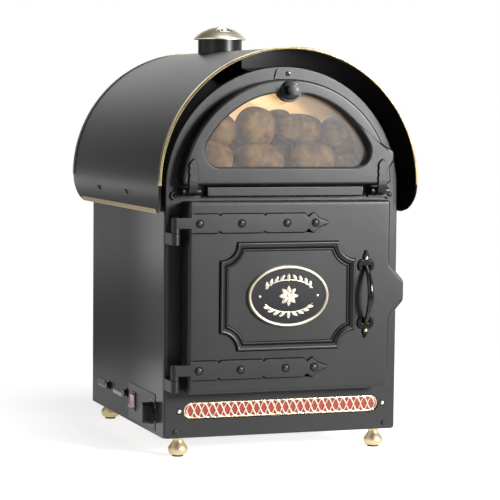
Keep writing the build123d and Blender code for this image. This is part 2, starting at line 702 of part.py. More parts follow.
def canopy_band(outer, inner, curl_from, curl_to):
    """Band of the canopy's section: outer and inner are radii beyond its face.

    The half round is drawn when curl_from is zero; curl_to ends the curl, in
    degrees below the canopy's centre.
    """
    centre_x = CANOPY_R - CANOPY_CURL_R
    with BuildSketch() as band:
        if curl_from == 0:
            with BuildLine():
                CenterArc((0, CANOPY_Z), CANOPY_R + outer, 0, 180)
                Line((-CANOPY_R - outer, CANOPY_Z), (-CANOPY_R - inner, CANOPY_Z))
                CenterArc((0, CANOPY_Z), CANOPY_R + inner, 0, 180)
                Line((CANOPY_R + outer, CANOPY_Z), (CANOPY_R + inner, CANOPY_Z))
            make_face()
        if curl_to > 0:
            for side in (-1, 1):
                start = 180 + curl_from if side < 0 else -curl_to
                span = curl_to - curl_from
                rays = [radians(start), radians(start + span)]
                outer_r = CANOPY_CURL_R + outer
                inner_r = CANOPY_CURL_R + inner
                centre = (side * centre_x, CANOPY_Z)
                with BuildLine():
                    CenterArc(centre, outer_r, start, span)
                    CenterArc(centre, inner_r, start, span)
                    for ray in rays:
                        Line(
                            (centre[0] + outer_r * cos(ray), centre[1] + outer_r * sin(ray)),
                            (centre[0] + inner_r * cos(ray), centre[1] + inner_r * sin(ray)),
                        )
                make_face()
    return band.sketch


with BuildPart() as canopy:
    with BuildSketch(facing(BODY_D + CANOPY_REAR)):
        add(canopy_band(0, -CANOPY_T, 0, CURL))
    extrude(amount=CANOPY_FRONT + BODY_D + CANOPY_REAR)
    with BuildSketch(Plane.YZ) as canopy_side:
        with Locations((PLATE_Y - CANOPY_FRONT, CANOPY_Z - CANOPY_DROP - CANOPY_T)):
            Rectangle(
                CANOPY_FRONT + BODY_D + CANOPY_REAR,
                CANOPY_DROP + CANOPY_R + 2 * CANOPY_T,
                align=(Align.MIN, Align.MIN),
            )
        fillet(canopy_side.vertices().group_by(Axis.Y)[0], CANOPY_CORNER_R)
    extrude(amount=CANOPY_R + CANOPY_T, both=True, mode=Mode.INTERSECT)
    with BuildSketch(Plane.XY.offset(CANOPY_Z)):
        with Locations((0, PLATE_Y + CHIMNEY_Y)):
            Circle(CHIMNEY_R + FIT)
    extrude(amount=CANOPY_R + CANOPY_T, mode=Mode.SUBTRACT)
    with BuildSketch(Plane.YZ):
        with Locations(*[(PLATE_Y + y, CANOPY_Z - CANOPY_SCREW_DROP) for y in CANOPY_SCREW_Y]):
            Circle(BOLT_SHANK_R + PIN_FIT)
    extrude(amount=CANOPY_R + CANOPY_T, both=True, mode=Mode.SUBTRACT)
finish(canopy, "canopy")

# Brass channels folded over the front and rear edges, down to the centre line.
with BuildPart() as canopy_edge_trims:
    for y in (TRIM_W - CANOPY_FRONT - TRIM_T, BODY_D + CANOPY_REAR + TRIM_T):
        with BuildSketch(facing(y)):
            add(canopy_band(TRIM_T + TRIM_FIT, -CANOPY_T - TRIM_T - TRIM_FIT, 0, 0))
        extrude(amount=TRIM_W)
    for y in (TRIM_W - CANOPY_FRONT - TRIM_T, BODY_D + CANOPY_REAR):
        with BuildSketch(facing(y)):
            add(canopy_band(TRIM_FIT, -CANOPY_T - TRIM_FIT, 0, 0))
        extrude(amount=TRIM_W - TRIM_T, mode=Mode.SUBTRACT)
finish(canopy_edge_trims, "canopy_edge_trims")

STRIP_SPAN = degrees(STRIP_H / CANOPY_CURL_R)
STRIP_L = CANOPY_FRONT + BODY_D + CANOPY_REAR - 2 * CANOPY_CORNER_R
with BuildPart() as canopy_side_strips:
    with BuildSketch(facing(BODY_D + CANOPY_REAR - CANOPY_CORNER_R)):
        add(canopy_band(TRIM_T + TRIM_FIT, TRIM_FIT, CURL - STRIP_SPAN, CURL))
    extrude(amount=STRIP_L)
finish(canopy_side_strips, "canopy_side_strips")

# Tubular spacers hold the canopy off the jacket; one screw goes through each.
SPACER_R = 7.0
SPACER_END_R = sqrt((CANOPY_CURL_R - CANOPY_T) ** 2 - (CANOPY_SCREW_DROP + SPACER_R) ** 2)
SPACER_OUT = CANOPY_R - CANOPY_CURL_R + SPACER_END_R
SCREW_SEAT = CANOPY_R - CANOPY_CURL_R + sqrt(CANOPY_CURL_R**2 - (CANOPY_SCREW_DROP - BOLT_R) ** 2)
with BuildPart() as canopy_spacers:
    for side in (-1, 1):
        with BuildSketch(Plane.YZ.offset(side * JACKET_HW)):
            with Locations(*[(PLATE_Y + y, CANOPY_Z - CANOPY_SCREW_DROP) for y in CANOPY_SCREW_Y]):
                Circle(SPACER_R)
                Circle(BOLT_SHANK_R + PIN_FIT, mode=Mode.SUBTRACT)
        extrude(amount=side * (SPACER_OUT - JACKET_HW))
finish(canopy_spacers, "canopy_spacers")

with BuildPart() as canopy_screws:
    screw_l = SCREW_SEAT - JACKET_HW + 2 * SHEET_T
    screw_z = CANOPY_Z - CANOPY_SCREW_DROP
    with Locations(*[Location((-SCREW_SEAT, PLATE_Y + y, screw_z), (0, 0, -90)) for y in CANOPY_SCREW_Y]):
        add(domed_screw(BOLT_R, BOLT_H, BOLT_SHANK_R, screw_l))
    with Locations(*[Location((SCREW_SEAT, PLATE_Y + y, screw_z), (0, 0, 90)) for y in CANOPY_SCREW_Y]):
        add(domed_screw(BOLT_R, BOLT_H, BOLT_SHANK_R, screw_l))
finish(canopy_screws, "canopy_screws")

# ================================================================ chimney
LINER_OUT_R = DISPLAY_R + SHEET_T
TUBE_Z0 = ARCH_Z + sqrt(DISPLAY_R**2 - CHIMNEY_R**2)
COLLAR_Z = ARCH_Z + LINER_OUT_R + FIT
CHIMNEY_AXIS = Plane((0, PLATE_Y + CHIMNEY_Y, 0))
with BuildPart() as chimney_tube:
    with BuildSketch(CHIMNEY_AXIS.offset(TUBE_Z0)):
        Circle(CHIMNEY_R)
    extrude(amount=CAP_Z + CAP_OVERLAP - TUBE_Z0)
    with BuildSketch(CHIMNEY_AXIS.offset(COLLAR_Z)):
        Circle(CHIMNEY_R + COLLAR_W)
    extrude(amount=COLLAR_T)
    with BuildSketch(CHIMNEY_AXIS.offset(TUBE_Z0)):
        Circle(CHIMNEY_IN_R)
    extrude(amount=CAP_Z + CAP_OVERLAP - TUBE_Z0, mode=Mode.SUBTRACT)
finish(chimney_tube, "chimney_tube")


def dome(sphere_r, rim_r, thickness):
    """Spherical cap shell about the chimney's axis, under the given sphere."""
    centre_z = CAP_Z + CAP_H - CAP_SPHERE_R
    inner_r = sphere_r - thickness
    with BuildPart() as shell:
        with BuildSketch(Plane.XZ):
            with BuildLine():
                lean = asin(rim_r / sphere_r)
                rim_top = (rim_r, centre_z + sphere_r * cos(lean))
                inner_lean = asin(rim_r / inner_r)
                rim_low = (rim_r, centre_z + inner_r * cos(inner_lean))
                outer_mid = (sphere_r * sin(lean / 2), centre_z + sphere_r * cos(lean / 2))
                inner_mid = (inner_r * sin(inner_lean / 2), centre_z + inner_r * cos(inner_lean / 2))
                ThreePointArc((0, centre_z + sphere_r), outer_mid, rim_top)
                Line(rim_top, rim_low)
                ThreePointArc(rim_low, inner_mid, (0, centre_z + inner_r))
                Line((0, centre_z + inner_r), (0, centre_z + sphere_r))
            make_face()
        revolve(axis=Axis.Z)
    return shell.part


# Cap and shutter carry the same three slots; turning the cap shuts them.
SHUTTER_SPHERE_R = CAP_SPHERE_R - CAP_T - VENT_GAP
SHUTTER_R = CHIMNEY_IN_R - PIN_FIT
with BuildPart() as vent_shutter:
    with Locations((0, PLATE_Y + CHIMNEY_Y, 0)):
        add(dome(SHUTTER_SPHERE_R, SHUTTER_R, CAP_T))
    skirt_top = CAP_Z + CAP_H - CAP_SPHERE_R + sqrt(SHUTTER_SPHERE_R**2 - SHUTTER_R**2)
    with BuildSketch(CHIMNEY_AXIS.offset(skirt_top)):
        Circle(SHUTTER_R)
        Circle(SHUTTER_R - CAP_T, mode=Mode.SUBTRACT)
    extrude(amount=-SHUTTER_SKIRT)
    with BuildSketch(CHIMNEY_AXIS.offset(CAP_Z)):
        with PolarLocations(VENT_AT_R, VENT_COUNT, start_angle=-90 + VENT_REST_TURN):
            Ellipse(VENT_W / 2, VENT_L / 2)
        Circle(CAP_PIVOT_R + PIN_FIT)
    extrude(amount=CAP_H, mode=Mode.SUBTRACT)
finish(vent_shutter, "vent_shutter")

with BuildPart() as vent_cap:
    with Locations((0, PLATE_Y + CHIMNEY_Y, 0)):
        add(dome(CAP_SPHERE_R, CAP_R, CAP_T))
    with BuildSketch(CHIMNEY_AXIS.offset(CAP_Z + CAP_H - CAP_T)):
        Circle(CAP_PIVOT_R)
    extrude(amount=-CAP_PIVOT_L)
    with BuildSketch(CHIMNEY_AXIS.offset(CAP_Z)):
        with PolarLocations(VENT_AT_R, VENT_COUNT, start_angle=-90):
            Ellipse(VENT_W / 2, VENT_L / 2)
    extrude(amount=CAP_H, mode=Mode.SUBTRACT)
finish(vent_cap, "vent_cap")


# ================================================================ oven chamber
def element_path(z):
    """Hairpin of the tubular element: two legs from the back wall and a wide loop."""
    loop_x = OVEN_W / 2 - ELEMENT_MARGIN_X
    back = PLATE_Y + OVEN_BACK_Y
    rear_run = back - ELEMENT_MARGIN_X
    front = PLATE_Y + ELEMENT_FRONT_Y
    corners = [
        (-ELEMENT_LEG_X, back + ELEMENT_TAIL, z),
        (-ELEMENT_LEG_X, rear_run, z),
        (-loop_x, rear_run, z),
        (-loop_x, front, z),
        (loop_x, front, z),
        (loop_x, rear_run, z),
        (ELEMENT_LEG_X, rear_run, z),
        (ELEMENT_LEG_X, back + ELEMENT_TAIL, z),
    ]
    return FilletPolyline(*corners, radius=ELEMENT_BEND_R)


ELEMENT_Z = (OVEN_Z0 + ELEMENT_LIFT, OVEN_Z1 - ELEMENT_LIFT)
ELEMENT_HOLES = [(x, z) for x in (-ELEMENT_LEG_X, ELEMENT_LEG_X) for z in ELEMENT_Z]
with BuildPart() as oven_liner:
    with BuildSketch(facing(OVEN_BACK_Y)):
        with Locations((0, OVEN_MID_Z)):
            RectangleRounded(OVEN_W + 2 * SHEET_T, OVEN_H + 2 * SHEET_T, OVEN_CORNER_R + SHEET_T)
    extrude(amount=OVEN_BACK_Y - PLATE_T)
    with BuildSketch(facing(PLATE_T + SHEET_T)):
        with Locations((0, OVEN_MID_Z)):
            RectangleRounded(OVEN_W + 2 * FLANGE_W, OVEN_H + 2 * FLANGE_W, OVEN_CORNER_R)
    extrude(amount=SHEET_T)
    with BuildSketch(facing(OVEN_BACK_Y - SHEET_T)):
        with Locations((0, OVEN_MID_Z)):
            RectangleRounded(OVEN_W, OVEN_H, OVEN_CORNER_R)
    extrude(amount=OVEN_BACK_Y, mode=Mode.SUBTRACT)
    with BuildSketch(facing(OVEN_BACK_Y)):
        with Locations(*ELEMENT_HOLES):
            Circle(ELEMENT_R + FIT)
    extrude(amount=SHEET_T, mode=Mode.SUBTRACT)
finish(oven_liner, "oven_liner")

WRAP_W = OVEN_W + 2 * (SHEET_T + FIT)
WRAP_H = OVEN_H + 2 * (SHEET_T + FIT)
WOOL_W = WRAP_W + 2 * INSULATION_T
WOOL_H = WRAP_H + 2 * INSULATION_T
with BuildPart() as oven_insulation:
    with BuildSketch(facing(OVEN_BACK_Y + FIT + INSULATION_T)):
        with Locations((0, OVEN_MID_Z)):
            RectangleRounded(WOOL_W, WOOL_H, OVEN_CORNER_R + INSULATION_T)
    extrude(amount=OVEN_BACK_Y + INSULATION_T - PLATE_T - SHEET_T)
    with BuildSketch(facing(OVEN_BACK_Y + FIT)):
        with Locations((0, OVEN_MID_Z)):
            RectangleRounded(WRAP_W, WRAP_H, OVEN_CORNER_R + SHEET_T)
    extrude(amount=OVEN_BACK_Y, mode=Mode.SUBTRACT)
    with BuildSketch(facing(OVEN_BACK_Y + FIT + INSULATION_T)):
        with Locations(*ELEMENT_HOLES):
            Circle(ELEMENT_R + FIT)
    extrude(amount=INSULATION_T, mode=Mode.SUBTRACT)
finish(oven_insulation, "oven_insulation")

# Side runners: one pressed sheet each side, with a ledge under every rack.
RUNNER_X = OVEN_W / 2 - FIT
LEDGE_Z = [z - RACK_ROD_R - FIT for z in RACK_Z]
with BuildPart() as rack_runners:
    with BuildSketch(facing(RACK_BACK_Y)):
        for side in (-1, 1):
            with Locations((side * (RUNNER_X - SHEET_T / 2), OVEN_MID_Z)):
                Rectangle(SHEET_T, OVEN_H - 2 * RUNNER_MARGIN)
            with Locations(*[(side * (RUNNER_X - LEDGE_W / 2), z - SHEET_T / 2) for z in LEDGE_Z]):
                Rectangle(LEDGE_W, SHEET_T)
    extrude(amount=RACK_BACK_Y - RACK_FRONT_Y)
finish(rack_runners, "rack_runners")

RACK_PLAY = 1.0           # between rack and runner, each side
THIN_ROD_R = 1.75
RACK_HW = RUNNER_X - SHEET_T - RACK_PLAY - RACK_ROD_R
RACK_MID_Y = PLATE_Y + (RACK_FRONT_Y + RACK_BACK_Y) / 2
RACK_L = RACK_BACK_Y - RACK_FRONT_Y - 2 * RACK_ROD_R
BAR_COUNT = int(2 * RACK_HW / RACK_PITCH)
for name, z in zip(("oven_rack_lower", "oven_rack_upper"), RACK_Z):
    with BuildPart() as oven_rack:
        with Locations((0, RACK_MID_Y, z)):
            with GridLocations(2 * RACK_HW, RACK_L, 2, 1):
                Cylinder(RACK_ROD_R, RACK_L + RACK_ROD_R, rotation=(90, 0, 0))
            with GridLocations(2 * RACK_HW, RACK_L, 1, 2):
                Cylinder(RACK_ROD_R, 2 * RACK_HW + RACK_ROD_R, rotation=(0, 90, 0))
            with GridLocations(2 * RACK_HW / (BAR_COUNT + 1), RACK_L, BAR_COUNT, 1):
                Cylinder(THIN_ROD_R, RACK_L, rotation=(90, 0, 0))
    finish(oven_rack, name)

for name, z in zip(("lower_element", "upper_element"), ELEMENT_Z):
    with BuildPart() as element:
        with BuildLine() as route:
            element_path(z)
        with BuildSketch(Plane(origin=route.line @ 0, z_dir=route.line % 0)):
            Circle(ELEMENT_R)
        sweep()
    finish(element, name)

# ================================================================ display chamber
DISPLAY_BACK_Y = OVEN_BACK_Y
CHIMNEY_MOUTH_R = CHIMNEY_R + FIT
with BuildPart() as display_liner:
    with BuildSketch(facing(DISPLAY_BACK_Y)):
        add(arch_segment(LINER_OUT_R, DISPLAY_Z0 - SHEET_T, SHEET_T * 2))
    extrude(amount=DISPLAY_BACK_Y - PLATE_T)
    with BuildSketch(facing(DISPLAY_BACK_Y - SHEET_T)):
        add(arch_segment(DISPLAY_R, DISPLAY_Z0, SHEET_T))
    extrude(amount=DISPLAY_BACK_Y, mode=Mode.SUBTRACT)
    with BuildSketch(CHIMNEY_AXIS.offset(ARCH_Z + DISPLAY_R / 2)):
        Circle(CHIMNEY_MOUTH_R)
    extrude(amount=DISPLAY_R, mode=Mode.SUBTRACT)
    with BuildSketch(facing(DISPLAY_BACK_Y)):
        with Locations((0, LAMP_Z)):
            Circle(LAMP_HOLDER_R - 2 * SHEET_T + PIN_FIT)
    extrude(amount=SHEET_T, mode=Mode.SUBTRACT)
finish(display_liner, "display_liner")

# Perforated floor: a shallow upside-down tray that stands on its two rims.
FLOOR_HW = sqrt(DISPLAY_R**2 - (DISPLAY_Z0 + DISPLAY_FLOOR_H - ARCH_Z) ** 2) - 2 * SHEET_T
FLOOR_GAP = 6.0           # floor tray clear of the plate and of the back wall
FLOOR_ROWS = 6
FLOOR_HOLES = 7           # in a row
FLOOR_Y0 = PLATE_T + FLOOR_GAP
FLOOR_Y1 = DISPLAY_BACK_Y - SHEET_T - FLOOR_GAP
with BuildPart() as display_floor:
    with BuildSketch(facing(FLOOR_Y1)):
        with Locations((0, DISPLAY_Z0)):
            Rectangle(2 * FLOOR_HW, DISPLAY_FLOOR_H, align=(Align.CENTER, Align.MIN))
            Rectangle(
                2 * (FLOOR_HW - SHEET_T),
                DISPLAY_FLOOR_H - SHEET_T,
                align=(Align.CENTER, Align.MIN),
                mode=Mode.SUBTRACT,
            )
    extrude(amount=FLOOR_Y1 - FLOOR_Y0)
    with BuildSketch(Plane.XY.offset(DISPLAY_Z0)):
        with Locations((0, PLATE_Y + (FLOOR_Y0 + FLOOR_Y1) / 2)):
            row_gap = (FLOOR_Y1 - FLOOR_Y0) / (FLOOR_ROWS + 1)
            with GridLocations(2 * FLOOR_HW / (FLOOR_HOLES + 1), row_gap, FLOOR_HOLES, FLOOR_ROWS):
                RegularPolygon(FLOOR_HOLE_R, 6)
    extrude(amount=DISPLAY_FLOOR_H, mode=Mode.SUBTRACT)
finish(display_floor, "display_floor")

with BuildPart() as lamp_holder:
    with BuildSketch(facing(DISPLAY_BACK_Y - SHEET_T)):
        with Locations((0, LAMP_Z)):
            Circle(LAMP_HOLDER_R)
    extrude(amount=LAMP_HOLDER_L)
    with BuildSketch(facing(DISPLAY_BACK_Y + LAMP_HOLDER_L / 2)):
        with Locations((0, LAMP_Z)):
            Circle(LAMP_HOLDER_R - 2 * SHEET_T)
    extrude(amount=LAMP_HOLDER_L / 2 + SHEET_T)
finish(lamp_holder, "lamp_holder")

with BuildPart() as display_lamp:
    with BuildSketch(Plane.YZ):
        with BuildLine():
            lamp_y = PLATE_Y + DISPLAY_BACK_Y - SHEET_T - LAMP_HOLDER_L
            Polyline((lamp_y, LAMP_Z), (lamp_y, LAMP_Z + LAMP_R * 0.6))
            Spline(
                (lamp_y, LAMP_Z + LAMP_R * 0.6),
                (lamp_y - LAMP_L * 0.6, LAMP_Z + LAMP_R),
                (lamp_y - LAMP_L, LAMP_Z),
                tangents=((-1, 0.2), (0, -1)),
            )
            Line((lamp_y - LAMP_L, LAMP_Z), (lamp_y, LAMP_Z))
        make_face()
    revolve(axis=Axis((0, lamp_y, LAMP_Z), (0, 1, 0)))
finish(display_lamp, "display_lamp")


# ================================================================ display door
def window_face(grow, lobe):
    """Window of the display door grown by this much; lobe leaves the knob's boss."""
    with BuildSketch() as window:
        add(arch_segment(WINDOW_R + grow, WINDOW_Z0 - grow, WINDOW_CORNER_R + grow))
        if lobe:
            with Locations((0, KNOB_Z)):
                Circle(LOBE_R, mode=Mode.SUBTRACT)
            inner_corners = window.vertices().group_by(Axis.Y)[-1]
            fillet(inner_corners, LOBE_BLEND_R)
    return window.sketch


def display_door_face():
    """Outline of the cast frame, with the finger lug on its right side."""
    with BuildSketch() as outline:
        add(arch_segment(DDOOR_R, DDOOR_Z0, DDOOR_CORNER_R))
        with BuildLine():
            low_x = sqrt(DDOOR_R**2 - (LUG_Z0 - ARCH_Z) ** 2)
            high_x = sqrt(DDOOR_R**2 - (LUG_Z1 - ARCH_Z) ** 2)
            lug_lean = (LUG_Z1 - LUG_Z0) * 0.2
            Polyline(
                (low_x - DDOOR_WALL, LUG_Z0),
                (low_x, LUG_Z0),
                (LUG_OUT, LUG_Z0 + 2 * lug_lean),
                (LUG_OUT, LUG_Z1 - lug_lean),
                (high_x, LUG_Z1),
                (high_x - DDOOR_WALL, LUG_Z1),
                close=True,
            )
        make_face()
    return outline.sketch


with BuildPart() as display_door_frame:
    with BuildSketch(facing(-DOOR_PLATE_GAP)):
        add(display_door_face())
    extrude(amount=DDOOR_DEPTH - DOOR_PLATE_GAP)
    fillet(display_door_frame.faces().sort_by(Axis.Y)[0].edges(), DOOR_EDGE_R)
    with BuildSketch(facing(-DOOR_PLATE_GAP)):
        add(arch_segment(DDOOR_R - DDOOR_WALL, DDOOR_Z0 + DDOOR_WALL, DDOOR_CORNER_R))
    extrude(amount=DDOOR_DEPTH - DDOOR_FACE_T - DOOR_PLATE_GAP, mode=Mode.SUBTRACT)
    with BuildSketch(facing(-DOOR_PLATE_GAP)):
        add(window_face(0, True))
        with Locations((0, KNOB_Z)):
            Circle(KNOB_SHANK_R + PIN_FIT)
    extrude(amount=DDOOR_DEPTH, mode=Mode.SUBTRACT)
    window_edge = max(
        display_door_frame.faces().sort_by(Axis.Y)[0].inner_wires(),
        key=lambda wire: wire.length,
    )
    chamfer(window_edge.edges(), WINDOW_LIP)
finish(display_door_frame, "display_door_frame")

GLASS_Y = DDOOR_DEPTH - DDOOR_FACE_T - FIT
with BuildPart() as display_door_glass:
    with BuildSketch(facing(GLASS_T - GLASS_Y)):
        add(window_face(GLASS_LAP, False))
        with Locations((0, KNOB_Z)):
            Circle(KNOB_SHANK_R + SHEET_T, mode=Mode.SUBTRACT)
    extrude(amount=GLASS_T)
finish(display_door_glass, "display_door_glass")

with BuildPart() as display_glass_retainer:
    with BuildSketch(facing(GLASS_T + FIT + RETAINER_T - GLASS_Y)):
        add(window_face(GLASS_LAP + RETAINER_W / 2, False))
        add(window_face(GLASS_LAP - RETAINER_W / 2, False), mode=Mode.SUBTRACT)
        with Locations((0, KNOB_Z)):
            Circle(RETAINER_W)
            Circle(KNOB_SHANK_R + PIN_FIT, mode=Mode.SUBTRACT)
    extrude(amount=RETAINER_T)
finish(display_glass_retainer, "display_glass_retainer")

# Vertical straps: spear-topped plate on the face, rolled round the hinge pin.
DSTRAP_BACK = DDOOR_DEPTH
DSTRAP_FRONT = DDOOR_DEPTH + DSTRAP_T
with BuildPart() as display_door_straps:
    for side in (-1, 1):
        x = side * DHINGE_X
        half = DSTRAP_W / 2
        foot = DDOOR_Z0 + DOOR_EDGE_R
        shoulder = DSTRAP_TIP_Z - DSTRAP_HEAD
        scallop = (shoulder - foot) / 3
        with BuildSketch(facing(-DSTRAP_BACK)):
            with BuildLine():
                Line((x - half, foot), (x + half, foot))
                for way in (-1, 1):
                    rim = x + way * half
                    for step in range(3):
                        low = foot + step * scallop
                        waist = (rim - way * DSTRAP_SCALLOP * step / 2, low + scallop / 2)
                        if step == 0:
                            Line((rim, low), (rim, low + scallop))
                        else:
                            ThreePointArc((rim, low), waist, (rim, low + scallop))
                    belly = (x + way * half * 0.72, shoulder + DSTRAP_HEAD * 0.45)
                    ThreePointArc((rim, shoulder), belly, (x, DSTRAP_TIP_Z))
            make_face()
        extrude(amount=DSTRAP_T)
        with BuildSketch(Plane.YZ.offset(x)):
            with BuildLine():
                reach = DSTRAP_FRONT - DHINGE_Y
                Polyline(
                    (PLATE_Y - DSTRAP_FRONT, DDOOR_Z0 + DOOR_EDGE_R),
                    (PLATE_Y - DSTRAP_BACK - FIT, DDOOR_Z0 + DOOR_EDGE_R),
                    (PLATE_Y - DSTRAP_BACK - FIT, DDOOR_Z0 - FIT),
                    (PLATE_Y - DHINGE_Y - DHINGE_R * 0.6, DDOOR_Z0 - FIT),
                    (PLATE_Y - DHINGE_Y, DHINGE_Z),
                    (PLATE_Y - DHINGE_Y - reach * 0.3, DHINGE_Z - DHINGE_R * 0.8),
                    (PLATE_Y - DSTRAP_FRONT, DHINGE_Z - DHINGE_R * 0.3),
                    close=True,
                )
            make_face()
            with Locations((PLATE_Y - DHINGE_Y, DHINGE_Z)):
                Circle(DHINGE_R)
                Circle(DPIN_R + PIN_FIT, mode=Mode.SUBTRACT)
        extrude(amount=half, both=True)
finish(display_door_straps, "display_door_straps")

with BuildPart() as display_door_knob:
    with BuildSketch(Plane.XY.offset(KNOB_Z)):
        with BuildLine():
            face = PLATE_Y - DDOOR_DEPTH
            neck_y = PLATE_Y - KNOB_REACH + sqrt(KNOB_R**2 - KNOB_STEM_R**2)
            Polyline(
                (0, face + KNOB_SHANK_L),
                (KNOB_SHANK_R, face + KNOB_SHANK_L),
                (KNOB_SHANK_R, face),
                (KNOB_ROSE_R, face),
            )
            ThreePointArc(
                (KNOB_ROSE_R, face),
                (KNOB_ROSE_R * 0.75, face - KNOB_ROSE_T * 0.7),
                (KNOB_STEM_R, face - KNOB_ROSE_T),
            )
            Line((KNOB_STEM_R, face - KNOB_ROSE_T), (KNOB_STEM_R, neck_y))
            ThreePointArc(
                (KNOB_STEM_R, neck_y),
                (KNOB_R, PLATE_Y - KNOB_REACH),
                (0, PLATE_Y - KNOB_REACH - KNOB_R),
            )
            Line((0, PLATE_Y - KNOB_REACH - KNOB_R), (0, face + KNOB_SHANK_L))
        make_face()
    revolve(axis=Axis((0, 0, KNOB_Z), (0, 1, 0)))
finish(display_door_knob, "display_door_knob")

# Brackets of the display door: a flat arm from the screwed boss to two pin lugs.
INNER_LUG_X = DHINGE_X - DSTRAP_W / 2 - DLUG_GAP - DLUG_T / 2
OUTER_LUG_X = DHINGE_X + DSTRAP_W / 2 + DLUG_GAP + DLUG_T / 2
with BuildPart() as display_hinge_brackets:
    for side in (-1, 1):
        for lug_x in (INNER_LUG_X, OUTER_LUG_X):
            with BuildSketch(Plane.YZ.offset(side * lug_x)):
                with Locations((PLATE_Y, DHINGE_Z)):
                    Rectangle(DHINGE_Y, 2 * DHINGE_R, align=(Align.MAX, Align.CENTER))
                with Locations((PLATE_Y - DHINGE_Y, DHINGE_Z)):
                    Circle(DHINGE_R)
                    Circle(DPIN_R + PIN_FIT, mode=Mode.SUBTRACT)
            extrude(amount=DLUG_T / 2, both=True)
        with BuildSketch(facing(0)):
            with Locations((side * (INNER_LUG_X + BOSS_X) / 2, DARM_Z0 + DARM_T / 2)):
                Rectangle(BOSS_X - INNER_LUG_X + DLUG_T, DARM_T)
            with Locations((side * BOSS_X, BOSS_Z)):
                Circle(BOSS_R)
        extrude(amount=BOSS_T)
    with BuildSketch(facing(0)):
        with Locations(*BOSS_POINTS):
            Circle(BOLT_SHANK_R + PIN_FIT)
    extrude(amount=BOSS_T, mode=Mode.SUBTRACT)
finish(display_hinge_brackets, "display_hinge_brackets")

with BuildPart() as centre_rail:
    with BuildSketch(facing(0)):
        with Locations((0, (RAIL_Z0 + RAIL_Z1) / 2)):
            Rectangle(RAIL_W, RAIL_Z1 - RAIL_Z0)
    extrude(amount=RAIL_T)
    fillet(centre_rail.faces().sort_by(Axis.Y)[0].edges(), RAIL_EDGE_R)
finish(centre_rail, "centre_rail")


# ================================================================ oven door
def oven_door_face(inset):
    """Outline of the oven door with the ear on its right, drawn in by inset."""
    half = ODOOR_W / 2
    with BuildSketch() as outline:
        with BuildLine():
            Polyline(
                (-half, ODOOR_Z0),
                (half, ODOOR_Z0),
                (half, EAR_Z - EAR_H / 2),
                (half + EAR_OUT, EAR_Z - EAR_FLAT / 2),
                (half + EAR_OUT, EAR_Z + EAR_FLAT / 2),
                (half, EAR_Z + EAR_H / 2),
                (half, ODOOR_Z1),
                (-half, ODOOR_Z1),
                close=True,
            )
        make_face()
        ear = outline.vertices().filter_by(lambda v: abs(v.Y - EAR_Z) < EAR_H)
        fillet(ear, EAR_R)
        corners = outline.vertices().filter_by(lambda v: abs(v.Y - EAR_Z) > EAR_H)
        fillet(corners, ODOOR_CORNER_R)
        if inset > 0:
            offset(amount=-inset, mode=Mode.REPLACE)
    return outline.sketch


def scooped_panel(inset):
    """Panel whose four corners are scooped by a round centred on the corner."""
    with BuildSketch() as panel:
        with Locations((MOULD_X, MOULD_Z)):
            Rectangle(MOULD_W, MOULD_H)
            with GridLocations(MOULD_W, MOULD_H, 2, 2):
                Circle(MOULD_SCOOP_R, mode=Mode.SUBTRACT)
        if inset > 0:
            offset(amount=-inset, mode=Mode.REPLACE)
    return panel.sketch


DOOR_HOLLOW_W = ODOOR_W - 2 * ODOOR_WALL
DOOR_HOLLOW_H = ODOOR_Z1 - ODOOR_Z0 - 2 * ODOOR_WALL
RIVET_POINTS = [(x, z) for x in RIVET_X for z in STRAP_Z]
HANDLE_SCREW_POINTS = [(HANDLE_X, HANDLE_Z + end * (HANDLE_SPAN / 2 + FITTING_SCREW)) for end in (-1, 1)]
with BuildPart() as oven_door_casting:
    with BuildSketch(facing(-DOOR_PLATE_GAP)):
        add(oven_door_face(0))
    extrude(amount=ODOOR_DEPTH - DOOR_PLATE_GAP)
    fillet(oven_door_casting.faces().sort_by(Axis.Y)[0].edges(), DOOR_EDGE_R)
    for start, width, height in (
        (0, MOULD_RIDGE_W, MOULD_RIDGE_T),
        (MOULD_RIDGE_W + MOULD_HOLLOW_W, MOULD_BEAD_W, MOULD_BEAD_T),
    ):
        with BuildSketch(facing(-ODOOR_DEPTH)):
            add(scooped_panel(start))
            add(scooped_panel(start + width), mode=Mode.SUBTRACT)
        extrude(amount=height)
        band_top = oven_door_casting.faces().filter_by(
            lambda face: abs(face.center().Y - (PLATE_Y - ODOOR_DEPTH - height)) < FIT
        )
        chamfer(band_top.edges(), MOULD_EDGE)
    with BuildSketch(facing(-ODOOR_DEPTH)):
        add(scooped_panel(MOULD_RIDGE_W - MOULD_EDGE))
        add(scooped_panel(MOULD_RIDGE_W + MOULD_HOLLOW_W + MOULD_EDGE), mode=Mode.SUBTRACT)
    extrude(amount=MOULD_HOLLOW_T)
    with BuildSketch(facing(-DOOR_PLATE_GAP)):
        with Locations((0, (ODOOR_Z0 + ODOOR_Z1) / 2)):
            RectangleRounded(DOOR_HOLLOW_W, DOOR_HOLLOW_H, ODOOR_CORNER_R)
    extrude(amount=ODOOR_DEPTH - DOOR_PLATE_GAP - ODOOR_WALL, mode=Mode.SUBTRACT)
    with BuildSketch(facing(-ODOOR_DEPTH)):
        with Locations(*RIVET_POINTS):
            Circle(RIVET_SHANK_R + PIN_FIT)
        with Locations(*HANDLE_SCREW_POINTS):
            Circle(SMALL_SHANK_R + PIN_FIT)
    extrude(amount=-ODOOR_WALL, mode=Mode.SUBTRACT)
finish(oven_door_casting, "oven_door_casting")

